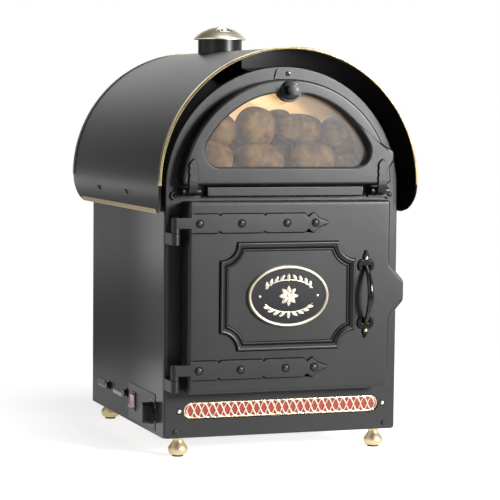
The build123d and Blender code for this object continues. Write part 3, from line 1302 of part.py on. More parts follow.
# Pressed lining: flange behind the casting, pan let into the oven's mouth.
LINING_W = DOOR_HOLLOW_W - 2 * FIT
LINING_H = DOOR_HOLLOW_H - 2 * FIT
PAN_W = OVEN_W - 2 * PAN_MARGIN
PAN_H = OVEN_H - 2 * PAN_MARGIN
with BuildPart() as oven_door_lining:
    with BuildSketch(facing(-LINING_SET)):
        with Locations((0, (ODOOR_Z0 + ODOOR_Z1) / 2)):
            RectangleRounded(LINING_W, LINING_H, ODOOR_CORNER_R)
    extrude(amount=SHEET_T)
    with BuildSketch(facing(PAN_DEPTH - LINING_SET)):
        with Locations((0, OVEN_MID_Z)):
            RectangleRounded(PAN_W, PAN_H, OVEN_CORNER_R)
    extrude(amount=PAN_DEPTH)
    with BuildSketch(facing(PAN_DEPTH - LINING_SET - SHEET_T)):
        with Locations((0, OVEN_MID_Z)):
            RectangleRounded(PAN_W - 2 * SHEET_T, PAN_H - 2 * SHEET_T, OVEN_CORNER_R)
    extrude(amount=PAN_DEPTH, mode=Mode.SUBTRACT)
finish(oven_door_lining, "oven_door_lining")

SEAL_OUT_W = ODOOR_W - 2 * SEAL_INSET + SEAL_W
SEAL_OUT_H = ODOOR_Z1 - ODOOR_Z0 - 2 * SEAL_INSET + SEAL_W
with BuildPart() as oven_door_seal:
    with BuildSketch(facing(-FIT)):
        with Locations((0, (ODOOR_Z0 + ODOOR_Z1) / 2)):
            RectangleRounded(SEAL_OUT_W, SEAL_OUT_H, OVEN_CORNER_R + SEAL_W)
            RectangleRounded(
                SEAL_OUT_W - 2 * SEAL_W,
                SEAL_OUT_H - 2 * SEAL_W,
                OVEN_CORNER_R,
                mode=Mode.SUBTRACT,
            )
    extrude(amount=LINING_SET - 2 * FIT)
finish(oven_door_seal, "oven_door_seal")


def strap_face(z):
    """Strap hinge: nicked body, a bulb past its neck, then hollow sides to the spear's tip."""
    half = STRAP_H / 2
    root = STRAP_X0 + DOOR_EDGE_R
    bulb_x = BULB_NECK_X + BULB_L / 2
    spear_x = (bulb_x + STRAP_TIP_X) / 2
    with BuildSketch() as outline:
        with BuildLine():
            for way in (-1, 1):
                rim = z + way * half
                nick = z + way * (half - STRAP_NOTCH)
                neck = z + way * BULB_NECK_H / 2
                edge = [(root, rim)]
                for x in STRAP_NOTCH_X:
                    edge += [(x - STRAP_NOTCH, rim), (x, nick), (x + STRAP_NOTCH, rim)]
                edge += [(BULB_NECK_X - STRAP_NOTCH, rim), (BULB_NECK_X, neck)]
                Polyline(*edge)
                swell = (BULB_NECK_X + BULB_L / 5, z + way * half * 0.92)
                ThreePointArc((BULB_NECK_X, neck), swell, (bulb_x, rim))
                hollow = (spear_x, z + way * half * 0.42)
                ThreePointArc((bulb_x, rim), hollow, (STRAP_TIP_X, z))
            Line((root, z - half), (root, z + half))
        make_face()
    return outline.sketch


NECK_X0 = -OHINGE_X
NECK_LAP = 1.0            # neck runs this far into the strap
NECK_X1 = STRAP_X0 + DOOR_EDGE_R + NECK_LAP
with BuildPart() as oven_door_straps:
    for z in STRAP_Z:
        with BuildSketch(facing(-ODOOR_DEPTH)):
            add(strap_face(z))
        extrude(amount=STRAP_T)
        with BuildSketch(facing(-ODOOR_DEPTH)):
            with Locations(((NECK_X0 + NECK_X1) / 2, z + KNUCKLE_ABOVE - STRAP_NECK_H / 2)):
                Rectangle(NECK_X1 - NECK_X0, STRAP_NECK_H)
        extrude(amount=STRAP_T)
        with BuildSketch(Plane.XY.offset(z - KNUCKLE_BELOW)):
            with Locations((-OHINGE_X, PLATE_Y - OHINGE_Y)):
                Circle(KNUCKLE_R)
        extrude(amount=KNUCKLE_BELOW + KNUCKLE_ABOVE)
        with BuildSketch(Plane.XY.offset(z - KNUCKLE_BELOW)):
            with Locations((-OHINGE_X, PLATE_Y - OHINGE_Y)):
                Circle(OPIN_R + PIN_FIT)
        extrude(amount=KNUCKLE_BELOW + KNUCKLE_ABOVE, mode=Mode.SUBTRACT)
    with BuildSketch(facing(-ODOOR_DEPTH)):
        with Locations(*RIVET_POINTS):
            Circle(RIVET_SHANK_R + PIN_FIT)
    extrude(amount=STRAP_T, mode=Mode.SUBTRACT)
finish(oven_door_straps, "oven_door_straps")

with BuildPart() as strap_rivets:
    with Locations(*place([(x, -ODOOR_DEPTH - STRAP_T, z) for x, z in RIVET_POINTS])):
        add(domed_screw(RIVET_R, RIVET_H, RIVET_SHANK_R, STRAP_T + ODOOR_WALL))
finish(strap_rivets, "strap_rivets")

with BuildPart() as oven_hinge_brackets:
    for z in STRAP_Z:
        with BuildSketch(Plane.XY.offset(z - KNUCKLE_BELOW - FIT - OLUG_H)):
            with Locations((-OHINGE_X, PLATE_Y)):
                Rectangle(2 * KNUCKLE_R, OHINGE_Y, align=(Align.CENTER, Align.MAX))
            with Locations((-OHINGE_X, PLATE_Y - OHINGE_Y)):
                Circle(KNUCKLE_R)
                Circle(OPIN_R + PIN_FIT, mode=Mode.SUBTRACT)
        extrude(amount=OLUG_H)
finish(oven_hinge_brackets, "oven_hinge_brackets")

with BuildPart() as hinge_pins:
    for z in STRAP_Z:
        with BuildSketch(Plane.XY.offset(z - KNUCKLE_BELOW - FIT - OLUG_H)):
            with Locations((-OHINGE_X, PLATE_Y - OHINGE_Y)):
                Circle(OPIN_R)
        extrude(amount=OLUG_H + FIT + KNUCKLE_BELOW + KNUCKLE_ABOVE)
    for side in (-1, 1):
        with BuildSketch(Plane.YZ.offset(side * DHINGE_X)):
            with Locations((PLATE_Y - DHINGE_Y, DHINGE_Z)):
                Circle(DPIN_R)
        extrude(amount=DSTRAP_W / 2 + DLUG_GAP + DLUG_T, both=True)
finish(hinge_pins, "hinge_pins")

# ---------------------------------------------------------------- door handle
BAR_STATIONS = 9


def bar_centre(t):
    """Middle line of the bowed bar, t from -1 at its foot to 1 at its top."""
    y = PLATE_Y - ODOOR_DEPTH - FITTING_T - (HANDLE_BOW - FITTING_T) * cos(t * pi / 2)
    return (HANDLE_X, y, HANDLE_Z + t * HANDLE_SPAN / 2)


def bar_plane(t):
    """Section plane of the bowed bar, square to its middle line."""
    dy = (HANDLE_BOW - FITTING_T) * sin(t * pi / 2) * pi / 2
    return Plane(origin=bar_centre(t), x_dir=(1, 0, 0), z_dir=(0, dy, HANDLE_SPAN / 2))


def fitting_face(end):
    """Trident plate of the handle; end is 1 for the top one and -1 for the other."""
    root = HANDLE_Z + end * HANDLE_SPAN / 2
    half = FITTING_W / 2
    prong = FITTING_W * 0.2
    right = [
        (prong * 0.5, -prong),
        (prong * 0.8, prong * 0.6),
        (half - prong, prong * 0.6),
        (half - prong, -prong),
        (half, -prong),
        (half, prong * 1.6),
        (prong * 0.9, prong * 1.7),
        (prong * 0.6, FITTING_L * 0.55),
        (prong * 0.9, FITTING_L * 0.68),
    ]
    left = [(-x, z) for x, z in reversed(right)]
    points = right + [(0, FITTING_L)] + left
    with BuildSketch() as outline:
        with BuildLine():
            Polyline(*[(HANDLE_X + x, root + end * z) for x, z in points], close=True)
        make_face()
    return outline.sketch


with BuildPart() as door_handle:
    for station in range(BAR_STATIONS):
        t = 2 * station / (BAR_STATIONS - 1) - 1
        swell = HANDLE_END_R + (HANDLE_R - HANDLE_END_R) * cos(t * pi / 2)
        with BuildSketch(bar_plane(t)):
            Circle(swell)
    loft()
    for end in (-1, 1):
        with BuildSketch(facing(-ODOOR_DEPTH)):
            add(fitting_face(end))
        extrude(amount=FITTING_T)
    with BuildSketch(facing(-ODOOR_DEPTH)):
        with Locations(*HANDLE_SCREW_POINTS):
            Circle(SMALL_SHANK_R + PIN_FIT)
    extrude(amount=FITTING_T, mode=Mode.SUBTRACT)
finish(door_handle, "door_handle")

with BuildPart() as handle_screws:
    with Locations(*place([(x, -ODOOR_DEPTH - FITTING_T, z) for x, z in HANDLE_SCREW_POINTS])):
        add(domed_screw(SMALL_HEAD_R, SMALL_HEAD_H, SMALL_SHANK_R, FITTING_T + ODOOR_WALL))
finish(handle_screws, "handle_screws")

# ---------------------------------------------------------------- oval plate
with BuildPart() as oval_plate:
    with BuildSketch(facing(-ODOOR_DEPTH)):
        with Locations((MOULD_X, MOULD_Z)):
            Ellipse(OVAL_W / 2 - OVAL_RIM_W, OVAL_H / 2 - OVAL_RIM_W)
    extrude(amount=OVAL_T)
    with BuildSketch(facing(-ODOOR_DEPTH - OVAL_T)):
        with Locations((MOULD_X, MOULD_Z)):
            Circle(ROSETTE_R)
            with PolarLocations(ROSETTE_R * 0.8 + PETAL_L / 2, PETAL_COUNT):
                Ellipse(PETAL_L / 2, PETAL_W / 2)
        with Locations((MOULD_X - OVAL_RIVET_X, MOULD_Z), (MOULD_X + OVAL_RIVET_X, MOULD_Z)):
            Circle(OVAL_RIVET_R)
    extrude(amount=PETAL_T)
finish(oval_plate, "oval_plate")

with BuildPart() as oval_trim:
    with BuildSketch(facing(-ODOOR_DEPTH)):
        with Locations((MOULD_X, MOULD_Z)):
            Ellipse(OVAL_W / 2, OVAL_H / 2)
            Ellipse(
                OVAL_W / 2 - OVAL_RIM_W + OVAL_FIT,
                OVAL_H / 2 - OVAL_RIM_W + OVAL_FIT,
                mode=Mode.SUBTRACT,
            )
    extrude(amount=OVAL_T + OVAL_RIM_T)
finish(oval_trim, "oval_trim")

# ================================================================ grille
CELL = (GRILLE_W - 2 * GRILLE_BORDER) / GRILLE_CELLS
with BuildPart() as grille:
    with BuildSketch(facing(GRILLE_SET + GRILLE_T)):
        with Locations((GRILLE_X, GRILLE_Z)):
            SlotOverall(GRILLE_W + 2 * GRILLE_END_LAP, GRILLE_H + 2 * GRILLE_LAP)
    extrude(amount=GRILLE_T)
    with BuildSketch(facing(GRILLE_SET + GRILLE_T)):
        with BuildLine():
            ThreePointArc((0, -EYE_H / 2), (EYE_W / 2, 0), (0, EYE_H / 2))
            ThreePointArc((0, EYE_H / 2), (-EYE_W / 2, 0), (0, -EYE_H / 2))
        eye = make_face(mode=Mode.PRIVATE)
        with BuildLine():
            Polyline((-SPANDREL_W / 2, SPANDREL_H), (SPANDREL_W / 2, SPANDREL_H), (0, 0), close=True)
        spandrel = make_face(mode=Mode.PRIVATE)
        with Locations((GRILLE_X, GRILLE_Z)):
            with GridLocations(CELL, CELL, GRILLE_CELLS, 1):
                add(eye)
        spandrel_z = SPANDREL_TOP - SPANDREL_H
        with Locations((GRILLE_X, GRILLE_Z + spandrel_z)):
            with GridLocations(CELL, CELL, GRILLE_CELLS - 1, 1):
                add(spandrel)
        with Locations(Location((GRILLE_X, GRILLE_Z - spandrel_z), 180)):
            with GridLocations(CELL, CELL, GRILLE_CELLS - 1, 1):
                add(spandrel)
    extrude(amount=GRILLE_T, mode=Mode.SUBTRACT)
    with BuildSketch(facing(GRILLE_SET + GRILLE_T)):
        with Locations(*GRILLE_SCREW_POINTS):
            Circle(SMALL_SHANK_R + PIN_FIT)
    extrude(amount=GRILLE_T, mode=Mode.SUBTRACT)
finish(grille, "grille")

with BuildPart() as grille_backing:
    with BuildSketch(facing(GRILLE_SET + GRILLE_T + BACKING_T)):
        with Locations((GRILLE_X, GRILLE_Z)):
            SlotOverall(GRILLE_W + GRILLE_LAP, GRILLE_H + GRILLE_LAP)
    extrude(amount=BACKING_T)
finish(grille_backing, "grille_backing")

with BuildPart() as grille_screws:
    with Locations(*place([(x, 0, z) for x, z in GRILLE_SCREW_POINTS])):
        add(domed_screw(SMALL_HEAD_R, SMALL_HEAD_H, SMALL_SHANK_R, GRILLE_SET + GRILLE_T))
finish(grille_screws, "grille_screws")

with BuildPart() as plate_bolts:
    with Locations(*place([(x, 0, z) for x, z in BOLT_POINTS])):
        add(domed_screw(BOLT_R, BOLT_H, BOLT_SHANK_R, BOLT_SHANK_L))
    with Locations(*place([(x, -BOSS_T, z) for x, z in BOSS_POINTS])):
        add(domed_screw(BOLT_R, BOLT_H, BOLT_SHANK_R, BOLT_SHANK_L + BOSS_T))
finish(plate_bolts, "plate_bolts")

# ================================================================ side controls
with BuildPart() as control_plate:
    with BuildSketch(wall(0)):
        with Locations((PLATE_Y + PANEL_Y0, PANEL_Z0)):
            Rectangle(PANEL_Y1 - PANEL_Y0, PANEL_Z1 - PANEL_Z0, align=(Align.MIN, Align.MIN))
        with Locations((PLATE_Y + DIAL_Y, DIAL_Z)):
            Circle(SHAFT_R + 2 * FIT, mode=Mode.SUBTRACT)
        with Locations((PLATE_Y + ROCKER_Y, ROCKER_Z)):
            Rectangle(ROCKER_W + 4 * SHEET_T + FIT, ROCKER_L + 4 * SHEET_T + FIT, mode=Mode.SUBTRACT)
    extrude(amount=-PANEL_T)
finish(control_plate, "control_plate")

with BuildPart() as thermostat_body:
    with BuildSketch(wall(-SHEET_T)):
        with Locations((PLATE_Y + DIAL_Y, DIAL_Z)):
            Rectangle(THERMOSTAT_W, THERMOSTAT_H)
    extrude(amount=THERMOSTAT_D)
    with BuildSketch(wall(-SHEET_T)):
        with Locations((PLATE_Y + DIAL_Y, DIAL_Z)):
            Circle(SHAFT_R + PIN_FIT)
    extrude(amount=SHAFT_L, mode=Mode.SUBTRACT)
finish(thermostat_body, "thermostat_body")

with BuildPart() as thermostat_knob:
    with BuildSketch(wall(PANEL_T + DIAL_LIFT)):
        with Locations((PLATE_Y + DIAL_Y, DIAL_Z)):
            Circle(DIAL_R)
    extrude(amount=-DIAL_T)
    with BuildSketch(wall(PANEL_T + DIAL_LIFT + DIAL_T)):
        with Locations((PLATE_Y + DIAL_Y, DIAL_Z)):
            SlotOverall(2 * (DIAL_R - GRIP_INSET), GRIP_W, rotation=90)
    extrude(amount=-GRIP_H)
    grip_top = thermostat_knob.faces().sort_by(Axis.X)[0].edges()
    fillet(grip_top, GRIP_EDGE_R)
    with BuildSketch(wall(PANEL_T + DIAL_LIFT)):
        with Locations((PLATE_Y + DIAL_Y, DIAL_Z)):
            Circle(SHAFT_R)
    extrude(amount=SHAFT_L - SHEET_T)
finish(thermostat_knob, "thermostat_knob")

BEZEL_FACE = PANEL_T + BEZEL_T
ROCKER_SLOT_L = ROCKER_L + 4 * SHEET_T - 2.0
with BuildPart() as switch_housing:
    with BuildSketch(wall(PANEL_T)):
        with Locations((PLATE_Y + ROCKER_Y, ROCKER_Z)):
            Rectangle(BEZEL_W, BEZEL_L)
    extrude(amount=-BEZEL_T)
    with BuildSketch(wall(PANEL_T)):
        with Locations((PLATE_Y + ROCKER_Y, ROCKER_Z)):
            Rectangle(ROCKER_W + 4 * SHEET_T, ROCKER_L + 4 * SHEET_T)
    extrude(amount=PANEL_T + HOUSING_D)
    with BuildSketch(wall(BEZEL_FACE)):
        with Locations((PLATE_Y + ROCKER_Y, ROCKER_Z)):
            Rectangle(ROCKER_W + 2 * FIT, ROCKER_SLOT_L)
    extrude(amount=BEZEL_FACE + HOUSING_D / 2, mode=Mode.SUBTRACT)
finish(switch_housing, "switch_housing")

# Rocker drawn square to the wall, then tilted to its off position.
ROCKER_AXIS = Axis((-(JACKET_HW + ROCKER_PIVOT), PLATE_Y + ROCKER_Y, ROCKER_Z), (0, 1, 0))
with BuildPart() as rocker_level:
    with BuildSketch(Plane.XZ.offset(-(PLATE_Y + ROCKER_Y))):
        with BuildLine():
            pivot_x = ROCKER_AXIS.position.X
            top = ROCKER_L / 2
            back = top - ROCKER_TAPER
            Line((pivot_x - ROCKER_RISE, ROCKER_Z - top), (pivot_x + ROCKER_ROOT, ROCKER_Z - back))
            Line((pivot_x + ROCKER_ROOT, ROCKER_Z - back), (pivot_x + ROCKER_ROOT, ROCKER_Z + back))
            Line((pivot_x + ROCKER_ROOT, ROCKER_Z + back), (pivot_x - ROCKER_RISE, ROCKER_Z + top))
            ThreePointArc(
                (pivot_x - ROCKER_RISE, ROCKER_Z + top),
                (pivot_x - ROCKER_RISE + ROCKER_DIP, ROCKER_Z),
                (pivot_x - ROCKER_RISE, ROCKER_Z - top),
            )
        make_face()
    extrude(amount=ROCKER_W / 2, both=True)

with BuildPart() as power_rocker:
    add(rocker_level.part.rotate(ROCKER_AXIS, ROCKER_TILT))
finish(power_rocker, "power_rocker")

with BuildPart() as button_collets:
    for y, z in zip(BUTTON_Y, BUTTON_Z):
        with BuildSketch(wall(0)):
            with Locations((PLATE_Y + y, z)):
                Circle(COLLET_R)
        extrude(amount=-COLLET_T)
        with BuildSketch(wall(0)):
            with Locations((PLATE_Y + y, z)):
                Circle(COLLET_BODY_R)
        extrude(amount=COLLET_BODY_L)
        with BuildSketch(wall(COLLET_T)):
            with Locations((PLATE_Y + y, z)):
                Circle(BUTTON_R + FIT)
        extrude(amount=COLLET_T + BUTTON_IN + BUTTON_TRAVEL + FIT, mode=Mode.SUBTRACT)
finish(button_collets, "button_collets")

for name, y, z in zip(("lamp_button", "reset_button"), BUTTON_Y, BUTTON_Z):
    with BuildPart() as button:
        with BuildSketch(wall(BUTTON_OUT)):
            with Locations((PLATE_Y + y, z)):
                Circle(BUTTON_R)
        extrude(amount=BUTTON_OUT + BUTTON_IN)
        fillet(button.faces().sort_by(Axis.X)[0].edges(), BUTTON_EDGE_R)
    finish(button, name)

LABEL_ENDS = (BUTTON_Y[1], BODY_D)
LABEL_L = [
    end - gap - (y + LABEL_GAP) for end, gap, y in zip(LABEL_ENDS, LABEL_END_GAP, BUTTON_Y)
]
with BuildPart() as label_plates:
    with BuildSketch(wall(0)):
        for y, z, length, height, drop in zip(BUTTON_Y, BUTTON_Z, LABEL_L, LABEL_H, LABEL_DROP):
            with Locations((PLATE_Y + y + LABEL_GAP, z - drop)):
                Rectangle(length, height, align=(Align.MIN, Align.CENTER))
    extrude(amount=-LABEL_T)
finish(label_plates, "label_plates")
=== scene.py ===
"""Baked potato oven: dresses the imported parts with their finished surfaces, materials, stage and camera."""
import json
import math

import bmesh
import bpy
import numpy as np
from bpy.props import FloatProperty, FloatVectorProperty, IntProperty, PointerProperty
from mathutils import Matrix, Vector

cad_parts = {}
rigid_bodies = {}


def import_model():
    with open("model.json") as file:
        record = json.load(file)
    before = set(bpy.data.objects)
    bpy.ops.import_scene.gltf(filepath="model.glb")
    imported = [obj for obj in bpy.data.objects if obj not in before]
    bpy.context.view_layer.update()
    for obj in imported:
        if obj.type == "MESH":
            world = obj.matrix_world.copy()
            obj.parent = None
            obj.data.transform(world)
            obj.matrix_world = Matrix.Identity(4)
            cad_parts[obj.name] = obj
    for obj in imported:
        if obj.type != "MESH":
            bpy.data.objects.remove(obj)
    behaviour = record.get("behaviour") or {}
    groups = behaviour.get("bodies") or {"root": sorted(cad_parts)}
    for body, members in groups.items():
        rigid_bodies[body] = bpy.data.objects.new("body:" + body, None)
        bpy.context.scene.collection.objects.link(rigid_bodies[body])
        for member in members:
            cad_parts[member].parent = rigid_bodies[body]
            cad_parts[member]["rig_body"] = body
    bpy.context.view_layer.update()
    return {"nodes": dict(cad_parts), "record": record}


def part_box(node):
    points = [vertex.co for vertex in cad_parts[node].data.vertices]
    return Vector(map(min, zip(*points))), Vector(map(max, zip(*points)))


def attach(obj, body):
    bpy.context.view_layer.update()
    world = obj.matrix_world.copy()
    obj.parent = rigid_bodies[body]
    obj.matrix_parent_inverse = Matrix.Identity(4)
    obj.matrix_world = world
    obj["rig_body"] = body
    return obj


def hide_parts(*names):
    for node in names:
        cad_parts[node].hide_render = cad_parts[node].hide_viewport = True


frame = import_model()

bl_info = {
    "name": "Baked Potato Oven",
    "version": (1, 0, 0),
    "blender": (4, 5, 0),
    "location": "3D View > Sidebar > Potato Oven",
    "description": "Builds the visible surfaces of a counter-top baked potato oven over its packed parts",
    "category": "Object",
}

MM = 0.001

# Sizes are in millimetres. x runs to the right from the middle, z up from the counter and y back from the
# cast plate's face. "Out" is how far a point stands in front of that face.
ARCH_Z = 487.0              # middle of the plate's, the display door's and the window's arches
DISPLAY_FACE = 29.0         # out of the display door's face
DOOR_FACE = 44.0            # out of the oven door's face
STRAP_FACE = 48.0           # out of the faces of hinge straps and handle plates

CANOPY_Z = 498.0            # middle of the canopy's half round
CANOPY_R = 250.0
CANOPY_CURL_R = 140.0       # curl below the half round, at each side
CANOPY_DROP = 52.0          # how far the curl reaches below CANOPY_Z
CANOPY_SHEET = 1.6
CANOPY_Y = (-41.0, 573.0)
CANOPY_CORNER = 47.0        # radius of the four lower corners
CANOPY_QUARTER = CANOPY_R * math.pi / 2
CANOPY_HALF = CANOPY_QUARTER + CANOPY_CURL_R * math.asin(CANOPY_DROP / CANOPY_CURL_R)
CHIMNEY_Y = 374.0
CHIMNEY_COLLAR_Z = ARCH_Z + 183.8

WINDOW_R = 180.0
KNOB_Z = 671.0
LOBE_R = 22.0               # the window draws in round the knob by this radius
DISPLAY_STRAP_X = 184.0

STRAP_Z = (164.5, 430.0)
STRAP_HALF = 17.0           # half the height of a strap hinge
NICK_X = (-139.0, -53.0)
NECK_X = 32.0
SPEAR_X = 43.5
TIP_X = 71.8
RIVET_X = (-177.0, -97.5, -10.5, 45.0)
HINGE_X = -220.0
OVEN_DOOR_CORNERS = (  # x, z and rounding of each corner
    (196.0, 121.5, 6), (196.0, 251.0, 14), (224.5, 282.5, 14), (224.5, 319.5, 14), (196.0, 351.0, 14),
    (196.0, 469.4, 6), (-196.0, 469.4, 6), (-196.0, 121.5, 6))

PANEL_MIDDLE = (-6.0, 296.65)
PANEL_SIZE = (262.0, 196.9)
PANEL_SCOOP = 33.0
OVAL_X, OVAL_Z = PANEL_MIDDLE
HANDLE_X = 147.0
HANDLE_REACH = 52.0         # from the handle's middle to each trident

GRILLE_X, GRILLE_Z = 2.5, 85.2
GRILLE_FACE = -3.1          # out of the lattice's face, which lies behind the plate's
GRILLE_BACK = -4.4
GRILLE_PITCH = 14.3

# Warm tint on the enamel's reflections: painted reflection colour for the warm surroundings they mirror.
WARM_TINT = (1.0, 0.985, 0.93, 1)
CAMERA_PLACE = (-1.2887, -3.4530, 0.6439)       # metres, y counted from the plate's face
CAMERA_TURN = (19.52, -4.15, 0.54)              # yaw, pitch and roll in degrees
CAMERA_LENS = 144.3312
LAMPS = (  # name, place and aim in metres, watts, width in metres
    ("key", (1.95, -3.0, 1.3), (0, 0, 0.4), 215, 1.0),
    ("fill", (-2.6, -1.4, 1.5), (0, 0, 0.4), 8, 1.6),
    ("top", (0.3, -0.9, 3.0), (0, 0, 0.5), 34, 1.4),
)


def node_mm(name):
    """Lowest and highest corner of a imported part, in millimetres."""
    low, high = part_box(name)
    return np.array(low) / MM, np.array(high) / MM


PLATE_Y = node_mm("front_plate")[0][1]


# ------------------------------------------------------------------ surfaces
def grid_quads(rows, cols, close_rows=False, close_cols=False):
    """Quads over a rows by cols grid of points, either way of which may close on itself."""
    down = np.arange(rows if close_rows else rows - 1)
    along = np.arange(cols if close_cols else cols - 1)
    r0, c0 = np.meshgrid(down, along, indexing="ij")
    r1, c1 = (r0 + 1) % rows, (c0 + 1) % cols
    corners = [r0 * cols + c0, r0 * cols + c1, r1 * cols + c1, r1 * cols + c0]
    return np.stack(corners, -1).reshape(-1, 4)


def facing(x, z, out):
    """Points on the front: x across, z up and out in front of the plate's face."""
    x, z, out = np.broadcast_arrays(x, z, out)
    return np.stack([x, PLATE_Y - out, z], -1).astype(float)


def laid(outline, out):
    """Outline of (x, z) points laid on the front at one height out."""
    return facing(outline[:, 0], outline[:, 1], out)


def loops_shell(loops, ring=False, caps=True):
    """Shell through closed loops of equal length; a ring closes on itself, or else its ends may get caps."""
    loops = np.asarray(loops, float)
    rows, cols = loops.shape[:2]
    faces = grid_quads(rows, cols, ring, True).tolist()
    if caps and not ring:
        faces.append(list(range(cols - 1, -1, -1)))
        faces.append(list(range((rows - 1) * cols, rows * cols)))
    return loops.reshape(-1, 3), faces


def lathe(profile, centre, axis, steps=48):
    """Profile of (radius, height) turned about an axis: r cos a, r sin a, and height along a named way."""
    radius, height = np.asarray(profile, float).T
    turn = np.linspace(0, 2 * np.pi, steps, endpoint=False)
    a = radius[:, None] * np.cos(turn)
    b = radius[:, None] * np.sin(turn)
    h = np.broadcast_to(height[:, None], a.shape)
    ways = {"up": (a, b, h), "out": (a, -h, b), "left": (-h, a, b), "right": (h, a, b)}
    points = np.stack(ways[axis], -1) + np.asarray(centre, float)
    return loops_shell(points)


def arc(centre, radius, start, end, steps):
    """Points on an arc, angles in degrees from the first axis."""
    a = np.radians(np.linspace(start, end, steps))
    return np.stack([centre[0] + radius * np.cos(a), centre[1] + radius * np.sin(a)], -1)


def unit(vectors):
    """Vectors scaled to length one."""
    return vectors / np.maximum(np.linalg.norm(vectors, axis=-1, keepdims=True), 1e-9)


def edge_normals(outline):
    """Unit normals of a closed counter-clockwise outline, pointing inwards at each point."""
    ahead = np.roll(outline, -1, 0) - outline
    behind = outline - np.roll(outline, 1, 0)
    n0, n1 = unit(behind)[:, ::-1] * [-1, 1], unit(ahead)[:, ::-1] * [-1, 1]
    mean = unit(n0 + n1)
    return mean / np.maximum((mean * n1).sum(1, keepdims=True), 0.5)


def rounded_outline(points, radii, steps=7):
    """Closed polygon whose corners are rounded by arcs that touch both sides of each corner."""
    points = np.asarray(points, float)
    out = []
    for i, corner in enumerate(points):
        back = points[i - 1] - corner
        on = points[(i + 1) % len(points)] - corner
        lb, lo = np.linalg.norm(back), np.linalg.norm(on)
        back, on = back / lb, on / lo
        half = math.acos(np.clip(back @ on, -1, 1)) / 2
        radius = radii[i] if np.ndim(radii) else radii
        reach = min(radius / max(math.tan(half), 1e-6), 0.48 * lb, 0.48 * lo)
        if reach < 1e-3 or half > math.pi / 2 - 1e-3:
            out.append(corner[None])
            continue
        radius = reach * math.tan(half)
        middle = corner + (back + on) / np.linalg.norm(back + on) * radius / math.sin(half)
        t = np.linspace(0, 1, steps)[:, None]
        start, end = corner + back * reach - middle, corner + on * reach - middle
        omega = math.acos(np.clip(start @ end / radius**2, -1, 1))
        curve = (np.sin((1 - t) * omega) * start + np.sin(t * omega) * end) / max(math.sin(omega), 1e-9)
        out.append(middle + curve)
    return np.concatenate(out)


def mirrored(half, tip):
    """Closed outline from its right half, going up, a tip on the axis and the same points coming down."""
    half = np.array(half)
    return np.concatenate([half, [tip], half[::-1] * [-1, 1]])


def knotted(knots, counts):
    """Numbers that run through the knots in even steps, so many of them between each two knots."""
    spans = [np.linspace(a, b, n, endpoint=False) for a, b, n in zip(knots, knots[1:], counts)]
    return np.concatenate(spans + [knots[-1:]])


def rolled_edge(edge, face, steps=7):
    """Insets and heights of a quarter round that turns over on to a face."""
    turn = np.linspace(0, np.pi / 2, steps)
    return list(zip(edge * (1 - np.cos(turn)), face - edge * (1 - np.sin(turn))))


def raised_plate(outline, back, face, edge, steps=4):
    """Plate standing on out = back with its face at out = face; the rim turns over in a quarter round."""
    inward = edge_normals(outline)
    rows = [laid(outline, back)]
    rows += [laid(outline + inward * inset, out) for inset, out in rolled_edge(edge, face, steps)]
    return loops_shell(rows)


def outline_area(outline):
    """Area inside a closed outline: half the sum of its edges' cross products."""
    x, z = outline.T
    return abs(np.sum(x * np.roll(z, -1) - z * np.roll(x, -1))) / 2


def grown(outline, by):
    """Closed outline pushed outwards, whichever way round it runs."""
    way = edge_normals(outline)
    points_out = outline_area(outline + way * 0.1) > outline_area(outline)
    return outline + way * (by if points_out else -by)


def sweep(path, side, section):
    """Closed section carried along a path: u runs along the given side vectors, v square to side and path."""
    path = np.asarray(path, float)
    tangent = unit(np.gradient(path, axis=0))
    side = np.broadcast_to(np.asarray(side, float), path.shape)
    side = unit(side - tangent * (side * tangent).sum(1, keepdims=True))
    other = np.cross(tangent, side)
    if section.ndim == 2:
        section = np.broadcast_to(section, (len(path),) + section.shape)
    return loops_shell(path[:, None] + section[..., :1] * side[:, None] + section[..., 1:] * other[:, None])


def round_section(radius, steps=12):
    """Circle of the given radius, or one circle for each radius along a path."""
    turn = np.linspace(0, 2 * np.pi, steps, endpoint=False)
    circle = np.stack([np.cos(turn), np.sin(turn)], -1)
    return np.asarray(radius, float)[..., None, None] * circle if np.ndim(radius) else radius * circle


# ------------------------------------------------------------------ shader nodes
MATERIALS = {}
GROUPS = {}


def add_node(tree, kind, inputs=None, **settings):
    """Node with its settings; each of its inputs takes a value or the socket that feeds it."""
    node = tree.nodes.new("ShaderNode" + kind)
    for key, value in settings.items():
        setattr(node, key, value)
    for key, value in (inputs or {}).items():
        if isinstance(value, bpy.types.NodeSocket):
            tree.links.new(value, node.inputs[key])
        else:
            node.inputs[key].default_value = value
    return node


def calc(tree, operation, *values):
    """Result of a math node over numbers and sockets."""
    return add_node(tree, "Math", dict(enumerate(values)), operation=operation).outputs[0]


def spread(tree, value, start, end, low=0.0, high=1.0, smooth=False):
    """Value carried from the range start to end over to low to high, and held beyond it."""
    kind = "SMOOTHSTEP" if smooth else "LINEAR"
    inputs = {0: value, 1: start, 2: end, 3: low, 4: high}
    return add_node(tree, "MapRange", inputs, interpolation_type=kind).outputs[0]


def between(tree, share, low, high):
    """Number between two others, by a share from nought to one."""
    return add_node(tree, "Mix", {0: share, 2: low, 3: high}).outputs[0]


def tone(colour):
    """Colour with full cover, or the socket that gives one."""
    return colour if isinstance(colour, bpy.types.NodeSocket) else (*colour, 1)


def blend(tree, share, low, high):
    """Colour between two others, by a share from nought to one."""
    return add_node(tree, "Mix", {0: share, 6: tone(low), 7: tone(high)}, data_type="RGBA").outputs[2]


def noise(tree, place, scale, detail=2.0, rough=0.5):
    """Cloudy noise from nought to one, with its scale in waves a metre."""
    inputs = {"Vector": place, "Scale": scale, "Detail": detail, "Roughness": rough}
    return add_node(tree, "TexNoise", inputs).outputs["Fac"]


def vectors(tree, operation, *values):
    """Result of a vector math node over vectors and sockets."""
    return add_node(tree, "VectorMath", dict(enumerate(values)), operation=operation).outputs[0]


